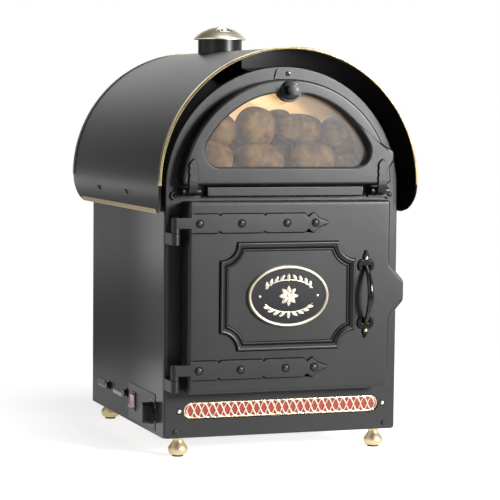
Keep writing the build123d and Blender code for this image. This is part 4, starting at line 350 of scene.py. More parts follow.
def axes(tree, place):
    """The x, y and z of a place, as three sockets."""
    return add_node(tree, "SeparateXYZ", {0: place}).outputs


def length(tree, vector):
    """Length of a vector."""
    return add_node(tree, "VectorMath", {0: vector}, operation="LENGTH").outputs["Value"]


def bump(tree, shader, height, strength, depth):
    """Bump node of the given strength and depth in metres, feeding the shader's normal."""
    node = add_node(tree, "Bump", {"Strength": strength, "Distance": depth, "Height": height})
    tree.links.new(node.outputs[0], shader.inputs["Normal"])


# ------------------------------------------------------------------ shared groups
def open_group(name, inputs):
    """Shader node group with a Vector and other named inputs, and the sockets that bring their values in."""
    group = bpy.data.node_groups.new(name, "ShaderNodeTree")
    kinds = {1: "NodeSocketFloat", 3: "NodeSocketVector", 4: "NodeSocketColor"}
    for label, value in {"Vector": (0.0, 0.0, 0.0), **inputs}.items():
        socket = group.interface.new_socket(label, in_out="INPUT", socket_type=kinds[np.size(value)])
        socket.default_value = value
    return group, group.nodes.new("NodeGroupInput").outputs


def close_group(group, **results):
    """Gives a shader group its outputs: a colour for Color and a number for each other one."""
    for label in results:
        kind = "NodeSocketColor" if label == "Color" else "NodeSocketFloat"
        group.interface.new_socket(label, in_out="OUTPUT", socket_type=kind)
    out = group.nodes.new("NodeGroupOutput")
    for label, socket in results.items():
        group.links.new(socket, out.inputs[label])
    return group


def skin_group():
    """Enamel skin: fine orange peel over long waves gives a height; cloudy noise roughness and shade."""
    group, given = open_group("Enamel Skin", {
        "Peel Scale": 900.0, "Wave Scale": 40.0, "Wave Share": 0.3, "Roughness": 0.3,
        "Roughness Change": 0.08, "Dark": (0.01, 0.01, 0.01, 1), "Light": (0.02, 0.02, 0.02, 1)})
    peel = noise(group, given["Vector"], given["Peel Scale"])
    wave = noise(group, given["Vector"], given["Wave Scale"], 3.0)
    cloud = noise(group, given["Vector"], 9.0, 4.0)
    centred = calc(group, "SUBTRACT", cloud, 0.5)
    return close_group(
        group, Height=between(group, given["Wave Share"], peel, wave),
        Roughness=calc(group, "MULTIPLY_ADD", centred, given["Roughness Change"], given["Roughness"]),
        Color=blend(group, cloud, given["Dark"], given["Light"]))


def grain_group():
    """Drawn grain: noise stretched along one way gives a height and a roughness; broad noise tarnishes."""
    group, given = open_group("Drawn Grain", {
        "Stretch": (1.0, 1.0, 1.0), "Scale": 600.0, "Roughness": 0.2, "Roughness Change": 0.1,
        "Bright": (0.8, 0.6, 0.3, 1), "Tarnish": (0.4, 0.3, 0.15, 1), "Tarnish Share": 0.3})
    drawn = vectors(group, "MULTIPLY", given["Vector"], given["Stretch"])
    grain = noise(group, drawn, given["Scale"], 3.0)
    patch = spread(group, noise(group, given["Vector"], 35.0, 5.0, 0.6), 0.45, 0.75)
    share = calc(group, "MULTIPLY", patch, given["Tarnish Share"])
    centred = calc(group, "SUBTRACT", grain, 0.5)
    rough = calc(group, "MULTIPLY_ADD", centred, given["Roughness Change"], given["Roughness"])
    return close_group(
        group, Height=grain, Roughness=calc(group, "MULTIPLY_ADD", share, 0.25, rough),
        Color=blend(group, share, given["Bright"], given["Tarnish"]))


def fibre_group():
    """Loose fibre: two crossed, stretched noises give a matted height and a mottled colour."""
    group, given = open_group("Matted Fibre", {
        "Scale": 200.0, "Dark": (0.3, 0.28, 0.2, 1), "Light": (0.7, 0.65, 0.5, 1)})
    strands = []
    for stretch in ((1.0, 8.0, 3.0), (6.0, 1.0, 1.5)):
        drawn = add_node(group, "Mapping", {"Vector": given["Vector"], "Scale": stretch})
        strands.append(noise(group, drawn.outputs[0], given["Scale"], 4.0))
    mat = between(group, 0.5, *strands)
    return close_group(group, Height=mat, Color=blend(group, mat, given["Dark"], given["Light"]))


# ------------------------------------------------------------------ materials
def start_material(name, **sockets):
    """Principled material kept under its name; returns its tree, shader and object coordinates."""
    material = bpy.data.materials.new(name)
    material.use_nodes = True
    MATERIALS[name] = material
    tree = material.node_tree
    shader = tree.nodes["Principled BSDF"]
    for key, value in sockets.items():
        shader.inputs[key.replace("_", " ")].default_value = value
    return tree, shader, tree.nodes.new("ShaderNodeTexCoord").outputs["Object"]


def grouped_material(name, group, values, strength, depth, **sockets):
    """Material whose colour, bump and, where the group gives it, roughness come from a shared group."""
    tree, shader, place = start_material(name, **sockets)
    surface = add_node(tree, "Group", {"Vector": place, **values}, node_tree=GROUPS[group])
    for label, socket in (("Color", "Base Color"), ("Roughness", "Roughness")):
        if label in surface.outputs:
            tree.links.new(surface.outputs[label], shader.inputs[socket])
    bump(tree, shader, surface.outputs["Height"], strength, depth)
    return tree, shader, place


def enamel(name, dark, light, rough, change=0.06, peel=900.0, wave=40.0, share=0.3, strength=0.2,
           depth=0.0003, coat=0.0, coat_rough=0.08, specular=0.5):
    """Painted, enamelled or moulded finish."""
    values = {"Peel Scale": peel, "Wave Scale": wave, "Wave Share": share, "Roughness": rough,
              "Roughness Change": change, "Dark": tone(dark), "Light": tone(light)}
    return grouped_material(name, "skin", values, strength, depth, Coat_Weight=coat,
                            Coat_Roughness=coat_rough, Specular_IOR_Level=specular)


def metal(name, bright, tarnish, rough, change=0.08, scale=600.0, stretch=(1.0, 1.0, 1.0), share=0.3,
          strength=0.1, depth=0.0001):
    """Bare metal with a drawn grain."""
    values = {"Stretch": stretch, "Scale": scale, "Roughness": rough, "Roughness Change": change,
              "Bright": tone(bright), "Tarnish": tone(tarnish), "Tarnish Share": share}
    grouped_material(name, "grain", values, strength, depth, Metallic=1.0)


def fibre(name, dark, light, scale, strength=0.6, depth=0.001):
    """Matted or woven fibre."""
    values = {"Scale": scale, "Dark": tone(dark), "Light": tone(light)}
    grouped_material(name, "fibre", values, strength, depth, Roughness=0.95, Sheen_Weight=0.3)


def front_sheen_coat(tree, shader, place):
    """Coat that is strongest at the front edge and fades out towards the back: a painted sheen that lightens
    the front of the jacket.
    """
    front = PLATE_Y * MM
    coat = spread(tree, axes(tree, place)[1], front, front + 0.26, 0.6, 0.0, smooth=True)
    tree.links.new(coat, shader.inputs["Coat Weight"])
    shader.inputs["Specular Tint"].default_value = WARM_TINT


def canopy_inner_shade(tree, shader, place):
    """Coats the canopy's outer face and darkens its inner one with painted shade, told apart by the distance
    from the axis.

    Above CANOPY_Z that is the half round's axis, and below it the curl's axis at either side.
    """
    x, _, z = axes(tree, vectors(tree, "ADD", place, (0, 0, -CANOPY_Z * MM)))
    shift = calc(tree, "MULTIPLY", calc(tree, "LESS_THAN", z, 0.0), (CANOPY_R - CANOPY_CURL_R) * MM)
    side = calc(tree, "SUBTRACT", calc(tree, "ABSOLUTE", x), shift)
    reach = length(tree, add_node(tree, "CombineXYZ", {0: side, 2: z}).outputs[0])
    limit = calc(tree, "SUBTRACT", (CANOPY_R - CANOPY_SHEET / 2) * MM, shift)
    inner = calc(tree, "LESS_THAN", reach, limit)
    skin = shader.inputs["Base Color"].links[0].from_socket
    # painted shade: the inner face gets a near-black base colour
    tree.links.new(blend(tree, inner, skin, (0.004, 0.004, 0.003)), shader.inputs["Base Color"])
    tree.links.new(spread(tree, inner, 0.0, 1.0, 0.12, 0.0), shader.inputs["Coat Weight"])
    for name in ("Specular Tint", "Coat Tint"):
        shader.inputs[name].default_value = WARM_TINT


def window_glass():
    """Clear glass with a faint warm film: a little smeary roughness, mostly see-through."""
    tree, shader, place = start_material(
        "window_glass", Base_Color=(0.97, 0.95, 0.91, 1), Transmission_Weight=1.0, IOR=1.45, Metallic=0.0,
        Specular_IOR_Level=0.02, Coat_Weight=0.7, Coat_Roughness=0.36)
    smear = spread(tree, noise(tree, place, 14.0, 4.0), 0.3, 0.8, 0.0, 0.06)
    tree.links.new(smear, shader.inputs["Roughness"])


def lamp_glass():
    """Warm lit lamp: pale glass whose colour drifts a little with a noise."""
    tree, shader, place = start_material(
        "lamp_glass", Base_Color=(1.0, 0.93, 0.8, 1), Roughness=0.35, Emission_Strength=92.0)
    tint = blend(tree, noise(tree, place, 60.0), (1.0, 0.72, 0.4), (1.0, 0.85, 0.62))
    tree.links.new(tint, shader.inputs["Emission Color"])


def potato_skin():
    """Baked skin: brown patches over tan, dark specks and eyes, fine net-like cracks in the bump."""
    tree, shader, place = start_material("potato_skin", Roughness=0.62, Subsurface_Weight=0.04)
    patches = add_node(tree, "ValToRGB", {"Fac": noise(tree, place, 26.0, 6.0, 0.65)})
    ramp = patches.color_ramp
    ramp.elements[0].position, ramp.elements[0].color = 0.32, (0.07, 0.030, 0.009, 1)
    ramp.elements[1].position, ramp.elements[1].color = 0.70, (0.48, 0.27, 0.085, 1)
    ramp.elements.new(0.52).color = (0.24, 0.12, 0.034, 1)
    specks = add_node(tree, "TexVoronoi", {"Vector": place, "Scale": 150.0})
    spot = spread(tree, specks.outputs["Distance"], 0.12, 0.30, 0.9, 0.0)
    few = spread(tree, noise(tree, place, 70.0), 0.52, 0.62)
    skin = blend(tree, calc(tree, "MULTIPLY", spot, few), patches.outputs["Color"], (0.085, 0.045, 0.02))
    tree.links.new(skin, shader.inputs["Base Color"])
    net = add_node(tree, "TexVoronoi", {"Vector": place, "Scale": 95.0}, feature="DISTANCE_TO_EDGE")
    crack = spread(tree, net.outputs["Distance"], 0.0, 0.12)
    bump(tree, shader, between(tree, 0.55, crack, noise(tree, place, 320.0, 5.0)), 0.35, 0.0008)


def control_plate(ticks=11, ring=(22.5, 26.5), tick_share=0.055):
    """Anodised control plate with a ring of plain tick marks round the dial, from polar coordinates."""
    tree, shader, place = start_material("control_plate", Roughness=0.38, Metallic=0.6)
    low, high = node_mm("thermostat_knob")
    middle = (low + high) / 2 * MM
    moved = add_node(tree, "Mapping", {"Vector": place, "Location": (0.0, -middle[1], -middle[2])})
    _, y, z = axes(tree, moved.outputs[0])
    squares = calc(tree, "ADD", calc(tree, "POWER", y, 2.0), calc(tree, "POWER", z, 2.0))
    radius = calc(tree, "POWER", squares, 0.5)
    turns = calc(tree, "MULTIPLY", calc(tree, "ARCTAN2", z, y), ticks / (2 * math.pi))
    off = calc(tree, "ABSOLUTE", calc(tree, "SUBTRACT", calc(tree, "FRACT", turns), 0.5))
    thin = calc(tree, "LESS_THAN", off, tick_share)
    inner = calc(tree, "GREATER_THAN", radius, ring[0] * MM)
    outer = calc(tree, "LESS_THAN", radius, ring[1] * MM)
    mark = calc(tree, "MULTIPLY", calc(tree, "MULTIPLY", inner, outer), thin)
    grain = noise(tree, place, 900.0)
    shade = blend(tree, grain, (0.0675, 0.0657, 0.0738), (0.075, 0.073, 0.082))
    tree.links.new(blend(tree, mark, shade, (0.6, 0.6, 0.58)), shader.inputs["Base Color"])
    bump(tree, shader, grain, 0.1, 0.0001)


def along_mask(tree, place, axis, low, high):
    """Mask that is one between two places along an axis of the object coordinates, in millimetres."""
    along = axes(tree, place)[axis]
    over = calc(tree, "GREATER_THAN", along, low * MM)
    return calc(tree, "MULTIPLY", over, calc(tree, "LESS_THAN", along, high * MM))


def label_plate(front_length=66.0, line_height=2.6):
    """Blank name plates: the front one is white, the rear one dark with a pale line along its foot."""
    tree, shader, place = start_material("label_plate", Roughness=0.4)
    low, _ = node_mm("label_plates")
    front = along_mask(tree, place, 1, low[1], low[1] + front_length)
    foot = along_mask(tree, place, 2, low[2], low[2] + line_height)
    pale = calc(tree, "MAXIMUM", front, foot)
    grain = noise(tree, place, 700.0)
    shade = blend(tree, grain, (0.50, 0.50, 0.48), (0.64, 0.64, 0.61))
    tree.links.new(blend(tree, pale, (0.055, 0.053, 0.05), shade), shader.inputs["Base Color"])
    bump(tree, shader, grain, 0.08, 0.0001)


def lit_rocker():
    """Clear red rocker: red with pale stripes of painted highlight across its length, from a cosine wave
    along y and a noise; the stripes glow with the red.
    """
    tree, shader, place = start_material("lit_rocker", Roughness=0.18, Emission_Strength=0.12)
    low, high = node_mm("power_rocker")
    share = spread(tree, axes(tree, place)[1], low[1] * MM, high[1] * MM)
    wave = calc(tree, "COSINE", calc(tree, "MULTIPLY", share, 4 * math.pi))
    # painted highlight: pale stripes across the red
    highlight_stripe = spread(tree, calc(tree, "ADD", wave, noise(tree, place, 260.0)), 0.35, 0.75)
    tint = blend(tree, highlight_stripe, (0.50, 0.025, 0.02), (0.82, 0.74, 0.72))
    for socket in ("Base Color", "Emission Color"):
        tree.links.new(tint, shader.inputs[socket])


def build_enamels(settings):
    """Painted and moulded finishes."""
    black = np.array(settings.enamel_colour)
    red = np.array(settings.backing_colour)
    flat, cast = settings.sheet_roughness, settings.casting_roughness
    sheet = {"peel": 700.0, "wave": 6.0, "share": 0.6, "strength": 0.05, "depth": 0.0004}
    enamel("black_enamel", black * 0.7, black * 1.2, flat, 0.04, **sheet, specular=0.3)
    # canopy and jacket are one black enamel: the canopy's darker colours are painted shade, the jacket's
    # lighter ones painted light
    canopy_inner_shade(*enamel("canopy_enamel", black * 0.5, black * 0.9, flat, 0.04, **sheet, specular=0.2,
                 coat_rough=0.22))
    front_sheen_coat(*enamel("jacket_enamel", black * 0.8, black * 1.4, flat, 0.04, **sheet, specular=0.1))
    casting = {"coat": 0.2, "coat_rough": 0.36, "specular": 0.45}
    enamel("cast_enamel", black * 0.45, black * 0.8, cast, 0.06, 520.0, 16.0, 0.85, 0.5, 0.0012, **casting)
    enamel("cast_iron", black * 0.45, black * 0.8, cast, 0.08, 650.0, 24.0, 0.7, 0.45, 0.001, **casting)
    iron = {"peel": 650.0, "wave": 70.0, "share": 0.5}
    # painted sheen: the knob's ball is given a grey far lighter than the black rose, for its soft highlight
    enamel("ball_painted_sheen", (0.10, 0.10, 0.11), (0.17, 0.17, 0.18), 0.42, 0.05, 650.0, 60.0, 0.5, 0.15,
           specular=0.8)
    enamel("black_iron", black * 0.9, black * 1.5, 0.33, 0.08, **iron, strength=0.3, depth=0.0005,
           specular=0.4)
    enamel("gloss_black", black * 0.3, black * 0.5, 0.17, 0.04, **iron, strength=0.1, specular=0.55)
    # painted shade: near-black rough enamel for the dark outlines and bands laid where shade falls
    enamel("painted_shade_black", black * 0.08, black * 0.15, 0.7, 0.05, **iron, strength=0.1, specular=0.1)
    enamel("oval_enamel", black * 1.2, black * 2.2, 0.24, 0.06, 420.0, 60.0, 0.5, 0.28, 0.0005, coat=0.3)
    enamel("red_backing", red, red * 1.35, 0.42, 0.08, 600.0, strength=0.15)
    enamel("black_rubber", (0.018, 0.018, 0.018), (0.035, 0.035, 0.033), 0.75, 0.1, 1200.0, strength=0.3,
           depth=0.0002)
    enamel("black_plastic", (0.010, 0.010, 0.010), (0.018, 0.018, 0.018), 0.28, 0.05, 1400.0, 25.0,
           strength=0.12, depth=0.0002)
    enamel("red_plastic", (0.50, 0.03, 0.025), (0.62, 0.06, 0.045), 0.20, 0.04, 1200.0, 30.0,
           strength=0.08, depth=0.0002, coat=0.5)
    enamel("white_ceramic", (0.74, 0.72, 0.66), (0.86, 0.84, 0.79), 0.55, 0.1)


def build_metals(settings):
    """Brasses, steels and the plate of the controls' side."""
    brass = np.array(settings.brass_colour)
    warm = brass * [0.55, 0.5, 0.42]
    metal("brass", brass, warm, 0.13, 0.06, scale=500.0, share=0.25, strength=0.05)
    metal("strip_brass", (0.72, 0.59, 0.37), (0.48, 0.37, 0.21), 0.42, 0.1, scale=420.0, strength=0.06)
    metal("foot_brass", (0.70, 0.57, 0.35), warm, 0.40, 0.1, scale=420.0, share=0.4)
    # painted shade and painted dark reflection: brass darkened for the rear edging and the canopy screws
    metal("shaded_brass", (0.20, 0.16, 0.09), (0.05, 0.04, 0.03), 0.3, 0.1, scale=420.0, share=0.6)
    metal("grille_brass", (0.93, 0.83, 0.60), (0.62, 0.44, 0.24), 0.24, scale=700.0, share=0.45,
          strength=0.12)
    metal("cap_brass", (0.97, 0.88, 0.68), warm, 0.40, 0.05, scale=300.0, stretch=(1.0, 1.0, 0.2), share=0.15,
          strength=0.04)
    metal("pale_brass", (0.97, 0.90, 0.74), warm, 0.36, 0.06, scale=500.0, share=0.2, strength=0.08)
    metal("steel_sheet", (0.60, 0.59, 0.57), (0.42, 0.40, 0.37), 0.34, 0.14, scale=260.0,
          stretch=(0.15, 3.0, 3.0), strength=0.12)
    metal("display_steel", (0.93, 0.87, 0.77), (0.80, 0.70, 0.56), 0.50, 0.1, scale=200.0,
          stretch=(0.2, 3.0, 3.0), share=0.4)
    metal("chrome_wire", (0.80, 0.80, 0.80), (0.5, 0.48, 0.44), 0.14, 0.05, scale=500.0, strength=0.05)
    metal("element_sheath", (0.27, 0.25, 0.24), (0.14, 0.11, 0.09), 0.48, 0.12, scale=300.0, share=0.7,
          strength=0.2)
    metal("plate_aluminium", (0.62, 0.61, 0.63), (0.5, 0.49, 0.5), 0.34, 0.1, scale=300.0,
          stretch=(3.0, 0.15, 3.0), share=0.2)


def build_materials(settings):
    """Every finish of the oven, by the record's slot names and a few names of its own."""
    GROUPS.update(skin=skin_group(), grain=grain_group(), fibre=fibre_group())
    build_enamels(settings)
    build_metals(settings)
    fibre("mineral_wool", (0.42, 0.36, 0.22), (0.74, 0.67, 0.48), 60.0)
    fibre("seal_braid", (0.10, 0.10, 0.095), (0.32, 0.31, 0.29), 320.0, 0.8, 0.0008)
    for make in (window_glass, lamp_glass, potato_skin, control_plate, label_plate, lit_rocker):
        make()


# Parts whose finish differs from the one that their slot in the record names.
OWN_FINISH = {
    "casing_jacket": "jacket_enamel", "front_plate": "cast_enamel", "centre_rail": "cast_enamel",
    "oven_door_casting": "cast_enamel", "display_door_frame": "cast_enamel", "door_catches": "cast_enamel",
    "oven_hinge_brackets": "cast_iron", "display_hinge_brackets": "cast_iron",
    "display_liner": "display_steel", "display_floor": "display_steel",
    "display_glass_retainer": "display_steel", "vent_cap": "cap_brass", "grille": "grille_brass",
    "feet": "foot_brass", "control_plate": "control_plate", "label_plates": "label_plate",
    "power_rocker": "lit_rocker",
}
SLOT_OF = {part["node"]: part["material_slot"] for part in frame["record"]["subparts"]}


def finish_of(node):
    """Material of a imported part."""
    return MATERIALS[OWN_FINISH.get(node, SLOT_OF[node])]


# ------------------------------------------------------------------ pieces
def mesh_piece(name, shells, finish, body, replaces=(), sharp=35.0):
    """One object from several shells in millimetres, with doubles merged and faces turned outwards."""
    verts, faces, start = [], [], 0
    for points, polygons in shells:
        verts.append(points)
        faces += [[i + start for i in face] for face in polygons]
        start += len(points)
    mesh = bpy.data.meshes.new(name)
    mesh.from_pydata((np.concatenate(verts) * MM).tolist(), [], faces)
    work = bmesh.new()
    work.from_mesh(mesh)
    bmesh.ops.remove_doubles(work, verts=work.verts, dist=2e-6)
    bmesh.ops.dissolve_degenerate(work, edges=work.edges, dist=1e-6)
    bmesh.ops.recalc_face_normals(work, faces=work.faces)
    work.to_mesh(mesh)
    work.free()
    return seat_piece(name, mesh, MATERIALS[finish], body, replaces, sharp)


def seat_piece(name, mesh, material, body, replaces=(), sharp=35.0):
    """Links a finished mesh, shades it, hangs it on the body it rides on and hides the parts it stands for.
    """
    mesh.shade_smooth()
    if sharp < 180:
        mesh.set_sharp_from_angle(angle=math.radians(sharp))
    mesh.materials.clear()
    mesh.materials.append(material)
    piece = bpy.data.objects.new(name, mesh)
    bpy.context.scene.collection.objects.link(piece)
    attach(piece, body)
    if replaces:
        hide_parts(*replaces)
    even = piece.modifiers.new("Even shading", "WEIGHTED_NORMAL")
    even.keep_sharp = True
    return piece


def smoothed_part(node, sharp=30.0):
    """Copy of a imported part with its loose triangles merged, so that its round faces shade as round."""
    source = frame["nodes"][node]
    mesh = source.data.copy()
    mesh.name = "smooth_" + node
    if mesh.has_custom_normals:
        mesh.attributes.remove(mesh.attributes["custom_normal"])
    work = bmesh.new()
    work.from_mesh(mesh)
    bmesh.ops.remove_doubles(work, verts=work.verts, dist=1e-6)
    work.to_mesh(mesh)
    work.free()
    seat_piece("smooth_" + node, mesh, finish_of(node), source["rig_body"], (node,), sharp)


def shade_outline(name, outlines, out, body, by):
    """Painted shade round raised parts: near-black plates a little wider than them, just proud of the face.
    """
    shells = [raised_plate(grown(outline, by), out - 0.1, out + 0.3, 0.1, 2) for outline in outlines]
    mesh_piece(name, shells, "painted_shade_black", body)


# ------------------------------------------------------------------ settings
class PotatoOvenSettings(bpy.types.PropertyGroup):
    """Sizes and colours that a user would change."""

    enamel_colour: FloatVectorProperty(
        name="Enamel", description="Colour of the black enamel", subtype="COLOR",
        default=(0.011, 0.011, 0.012), min=0, max=1)
    brass_colour: FloatVectorProperty(
        name="Brass", description="Colour of the polished brass", subtype="COLOR",
        default=(0.86, 0.69, 0.38), min=0, max=1)
    backing_colour: FloatVectorProperty(
        name="Grille backing", description="Colour behind the pierced grille", subtype="COLOR",
        default=(0.250, 0.022, 0.020), min=0, max=1)
    sheet_roughness: FloatProperty(
        name="Sheet roughness", description="Roughness of the canopy and jacket", subtype="FACTOR",
        default=0.30, min=0, max=1)
    casting_roughness: FloatProperty(
        name="Casting roughness", description="Roughness of the plate and doors", subtype="FACTOR",
        default=0.38, min=0, max=1)
    canopy_steps: IntProperty(
        name="Canopy steps", description="Strips along each side of the canopy's curve",
        default=64, min=12, max=200)
    door_edge: FloatProperty(
        name="Door edge", description="Radius of the doors' rolled edges in millimetres",
        default=5.0, min=1, max=12)
    moulding_height: FloatProperty(
        name="Moulding height", description="Height of the panel moulding in millimetres",
        default=5.0, min=1, max=5)
    strap_edge: FloatProperty(
        name="Strap edge", description="Rounding of the hinge straps in millimetres",
        default=1.1, min=0.3, max=3)
    lattice_width: FloatProperty(
        name="Lattice width", description="Width of the grille's waved bars in millimetres",
        default=2.7, min=1, max=5)
    potato_seed: IntProperty(
        name="Potato seed", description="Number that varies the potatoes' lumps",
        default=7, min=0, max=999)


def settings_of(context):
    """The scene's oven settings."""
    return context.scene.potato_oven


# ------------------------------------------------------------------ canopy
def canopy_point(s, y, offset=0.0):
    """Canopy surface, s being arc length from the crown: a half round, then a tighter inward curl."""
    s, y = np.broadcast_arrays(np.asarray(s, float), np.asarray(y, float))
    side, run = np.sign(s), np.abs(s)
    a = np.minimum(run, CANOPY_QUARTER) / CANOPY_R
    b = np.maximum(run - CANOPY_QUARTER, 0) / CANOPY_CURL_R
    curl = run > CANOPY_QUARTER
    big, small = CANOPY_R + offset, CANOPY_CURL_R + offset
    x = np.where(curl, CANOPY_R - CANOPY_CURL_R + small * np.cos(b), big * np.sin(a))
    z = np.where(curl, CANOPY_Z - small * np.sin(b), CANOPY_Z + big * np.cos(a))
    return np.stack([side * x, PLATE_Y + y, z], -1)


def canopy_ends(s):
    """Front and rear edge of the sheet at s: straight, but rounded in at the four lower corners."""
    z = canopy_point(s, 0.0)[..., 2]
    low = CANOPY_Z - CANOPY_DROP
    rise = np.clip(low + CANOPY_CORNER - z, 0, CANOPY_CORNER)
    cut = CANOPY_CORNER - np.sqrt(CANOPY_CORNER**2 - rise**2)
    return CANOPY_Y[0] + cut, CANOPY_Y[1] - cut


class OVEN_OT_canopy(bpy.types.Operator):
    """Canopy sheet: a grid over the half round and its curls, with a round hole in it for the chimney"""

    bl_idname = "oven.canopy"
    bl_label = "Canopy"

    def execute(self, context):
        steps = settings_of(context).canopy_steps
        ahead, cells, behind = 30, 12, 14
        block = 66.0                # half the side of the square of cells that the hole is let into
        hole = 44.3
        s = knotted([-CANOPY_HALF, -block, block, CANOPY_HALF], (steps, cells, steps))
        y = knotted([CANOPY_Y[0], CHIMNEY_Y - block, CHIMNEY_Y + block, CANOPY_Y[1]], (ahead, cells, behind))
        t = (y - CANOPY_Y[0]) / (CANOPY_Y[1] - CANOPY_Y[0])
        front, rear = canopy_ends(s)
        points = canopy_point(s[:, None], front[:, None] + t * (rear - front)[:, None])
        faces = grid_quads(len(s), len(y)).reshape(len(s) - 1, len(y) - 1, 4)
        keep = np.ones(faces.shape[:2], bool)
        keep[steps:steps + cells, ahead:ahead + cells] = False
        side = np.linspace(-block, block, cells, endpoint=False)
        end = np.full(cells, block)
        sides = ((side, -end), (end, side), (-side, end), (-end, -side))
        square = np.concatenate([np.stack(pair, -1) for pair in sides])
        angle = np.arctan2(square[:, 1], square[:, 0])
        circle = np.stack([CANOPY_R * np.arcsin(hole * np.cos(angle) / CANOPY_R), hole * np.sin(angle)], -1)
        share = np.linspace(0, 1, 5)[:, None, None]
        ring = square * (1 - share) + circle * share
        patch = canopy_point(ring[..., 0], ring[..., 1] + CHIMNEY_Y)
        shells = [(points.reshape(-1, 3), faces[keep].tolist()),
                  (patch.reshape(-1, 3), grid_quads(len(share), len(square), False, True).tolist())]
        piece = mesh_piece("canopy_sheet", shells, "canopy_enamel", "cabinet",
                           ("canopy",), 60)
        wall = piece.modifiers.new("Sheet", "SOLIDIFY")
        wall.thickness = CANOPY_SHEET * MM
        wall.offset = -1.0
        wall.use_even_offset = True
        return {"FINISHED"}


class OVEN_OT_canopy_trim(bpy.types.Operator):
    """Edging: a bright channel round the front, one darkened with painted shade round the rear, strips along
    the low edges
    """

    bl_idname = "oven.canopy_trim"
    bl_label = "Canopy trim"

    def execute(self, context):
        out, inn, wide, bend = 1.3, -2.9, 10.8, 1.1
        fold = np.concatenate([
            [(inn, wide)], arc((inn + bend, -0.1), bend, 180, 270, 6),
            arc((out - bend, -0.1), bend, 270, 360, 6),
            [(out, wide - 0.3), (out - 0.4, wide), (0.1, wide), (0.1, 0.0), (-1.7, 0.0), (-1.7, wide)]])
        turn = np.linspace(0, np.pi, 121)[:, None]
        radius = CANOPY_R + fold[:, 0]
        x, z = radius * np.cos(turn), CANOPY_Z + radius * np.sin(turn)
        # the rear edging's dark brass is painted shade
        for edge, way, name, finish, replaced in (
                (CANOPY_Y[0], 1, "canopy_edging", "brass", ("canopy_edge_trims",)),
                (CANOPY_Y[1], -1, "canopy_rear_edging", "shaded_brass", ())):
            y = np.broadcast_to(PLATE_Y + edge + way * fold[:, 1], x.shape)
            mesh_piece(name, [loops_shell(np.stack([x, y, z], -1))], finish, "cabinet", replaced)
        run = np.linspace(CANOPY_Y[0] + CANOPY_CORNER, CANOPY_Y[1] - CANOPY_CORNER, 41)
        section = np.array([(-9.8, 0.1), (-9.8, 1.0), (-9.4, 1.3), (-5.0, 1.3), (-0.7, 1.3), (-0.1, 1.1),
                            (0.0, 0.7), (0.0, 0.1)])
        strips = []
        for side in (-1, 1):
            s = side * (CANOPY_HALF + section[:, 0])
            strips.append(loops_shell([canopy_point(s, y, section[:, 1]) for y in run]))
        mesh_piece("canopy_strips", strips, "strip_brass", "cabinet", ("canopy_side_strips",))
        return {"FINISHED"}


class OVEN_OT_chimney(bpy.types.Operator):
    """Chimney: the tube is one turned profile with its collar; cap and shutter keep their cut slots"""

    bl_idname = "oven.chimney"
    bl_label = "Chimney"

    def execute(self, context):
        low, high = (corner[2] for corner in node_mm("chimney_tube"))
        bore, tube, flange = 42.5, 44.0, 51.0
        collar = CHIMNEY_COLLAR_Z
        profile = [(bore, low), (tube, low), (tube, collar), (flange, collar), (flange, collar + 2.0),
                   (tube, collar + 2.0), (tube, high - 0.5), (tube - 0.5, high), (bore, high), (bore, low)]
        mesh_piece("chimney_pipe", [lathe(profile, (0, PLATE_Y + CHIMNEY_Y, 0), "up", 96)], "black_enamel",
                   "cabinet", ("chimney_tube",))
        for node in ("vent_cap", "vent_shutter"):
            smoothed_part(node, 40)
        return {"FINISHED"}


# ------------------------------------------------------------------ display door
def soft_min(a, b, k):
    """Smaller of two numbers, with the corner between them rounded over k."""
    h = np.maximum(k - np.abs(a - b), 0) / k
    return np.minimum(a, b) - h * h * k / 4


def arch_outline(radius, base, corner, stretch=None):
    """Arch with a flat foot: fillet, arc, fillet and foot, always with as many points, so arches pair up.

    The arc's radius is the given one plus the stretch, which varies by direction from the arch's centre.
    """
    rise = base + corner - ARCH_Z
    across = math.sqrt((radius - corner) ** 2 - rise**2)
    lean = math.degrees(math.atan2(rise, across))
    right = arc((across, base + corner), corner, -90, lean, 17)[:-1]
    left = arc((-across, base + corner), corner, 180 - lean, 270, 17)[1:]
    turn = np.radians(np.linspace(lean, 180 - lean, 301))
    reach = radius + (stretch(turn) if stretch else 0.0)
    top = np.stack([reach * np.cos(turn), ARCH_Z + reach * np.sin(turn)], -1)
    foot = np.stack([np.linspace(-across, across, 42)[1:-1], np.full(40, base)], -1)
    return np.concatenate([right, top, left, foot])


def lug_stretch(turn):
    """Finger lug: how far the door reaches beyond its arc, by direction in degrees from the arch's centre."""
    at = [11.9, 12.8, 14.4, 15.5, 18.7, 20.0, 22.4, 25.6]
    beyond = [0.0, 3.9, 11.0, 12.8, 16.6, 15.4, 7.2, 0.0]
    return sum(np.interp(np.degrees(turn) + shift, at, beyond) for shift in (-0.9, -0.45, 0, 0.45, 0.9)) / 5


def lobe_stretch(turn):
    """Knob lobe: the window's arc draws in round a circle about the knob, with a shoulder each side."""
    drop = KNOB_Z - ARCH_Z
    off = np.abs(drop * np.cos(turn))
    near = drop * np.sin(turn) - np.sqrt(np.maximum(LOBE_R**2 - off**2, 0))
    near = np.where(off < LOBE_R, near, drop * np.sin(turn) + 3.0 * (off - LOBE_R))
    return soft_min(np.full(turn.shape, WINDOW_R), near, 14.0) - WINDOW_R


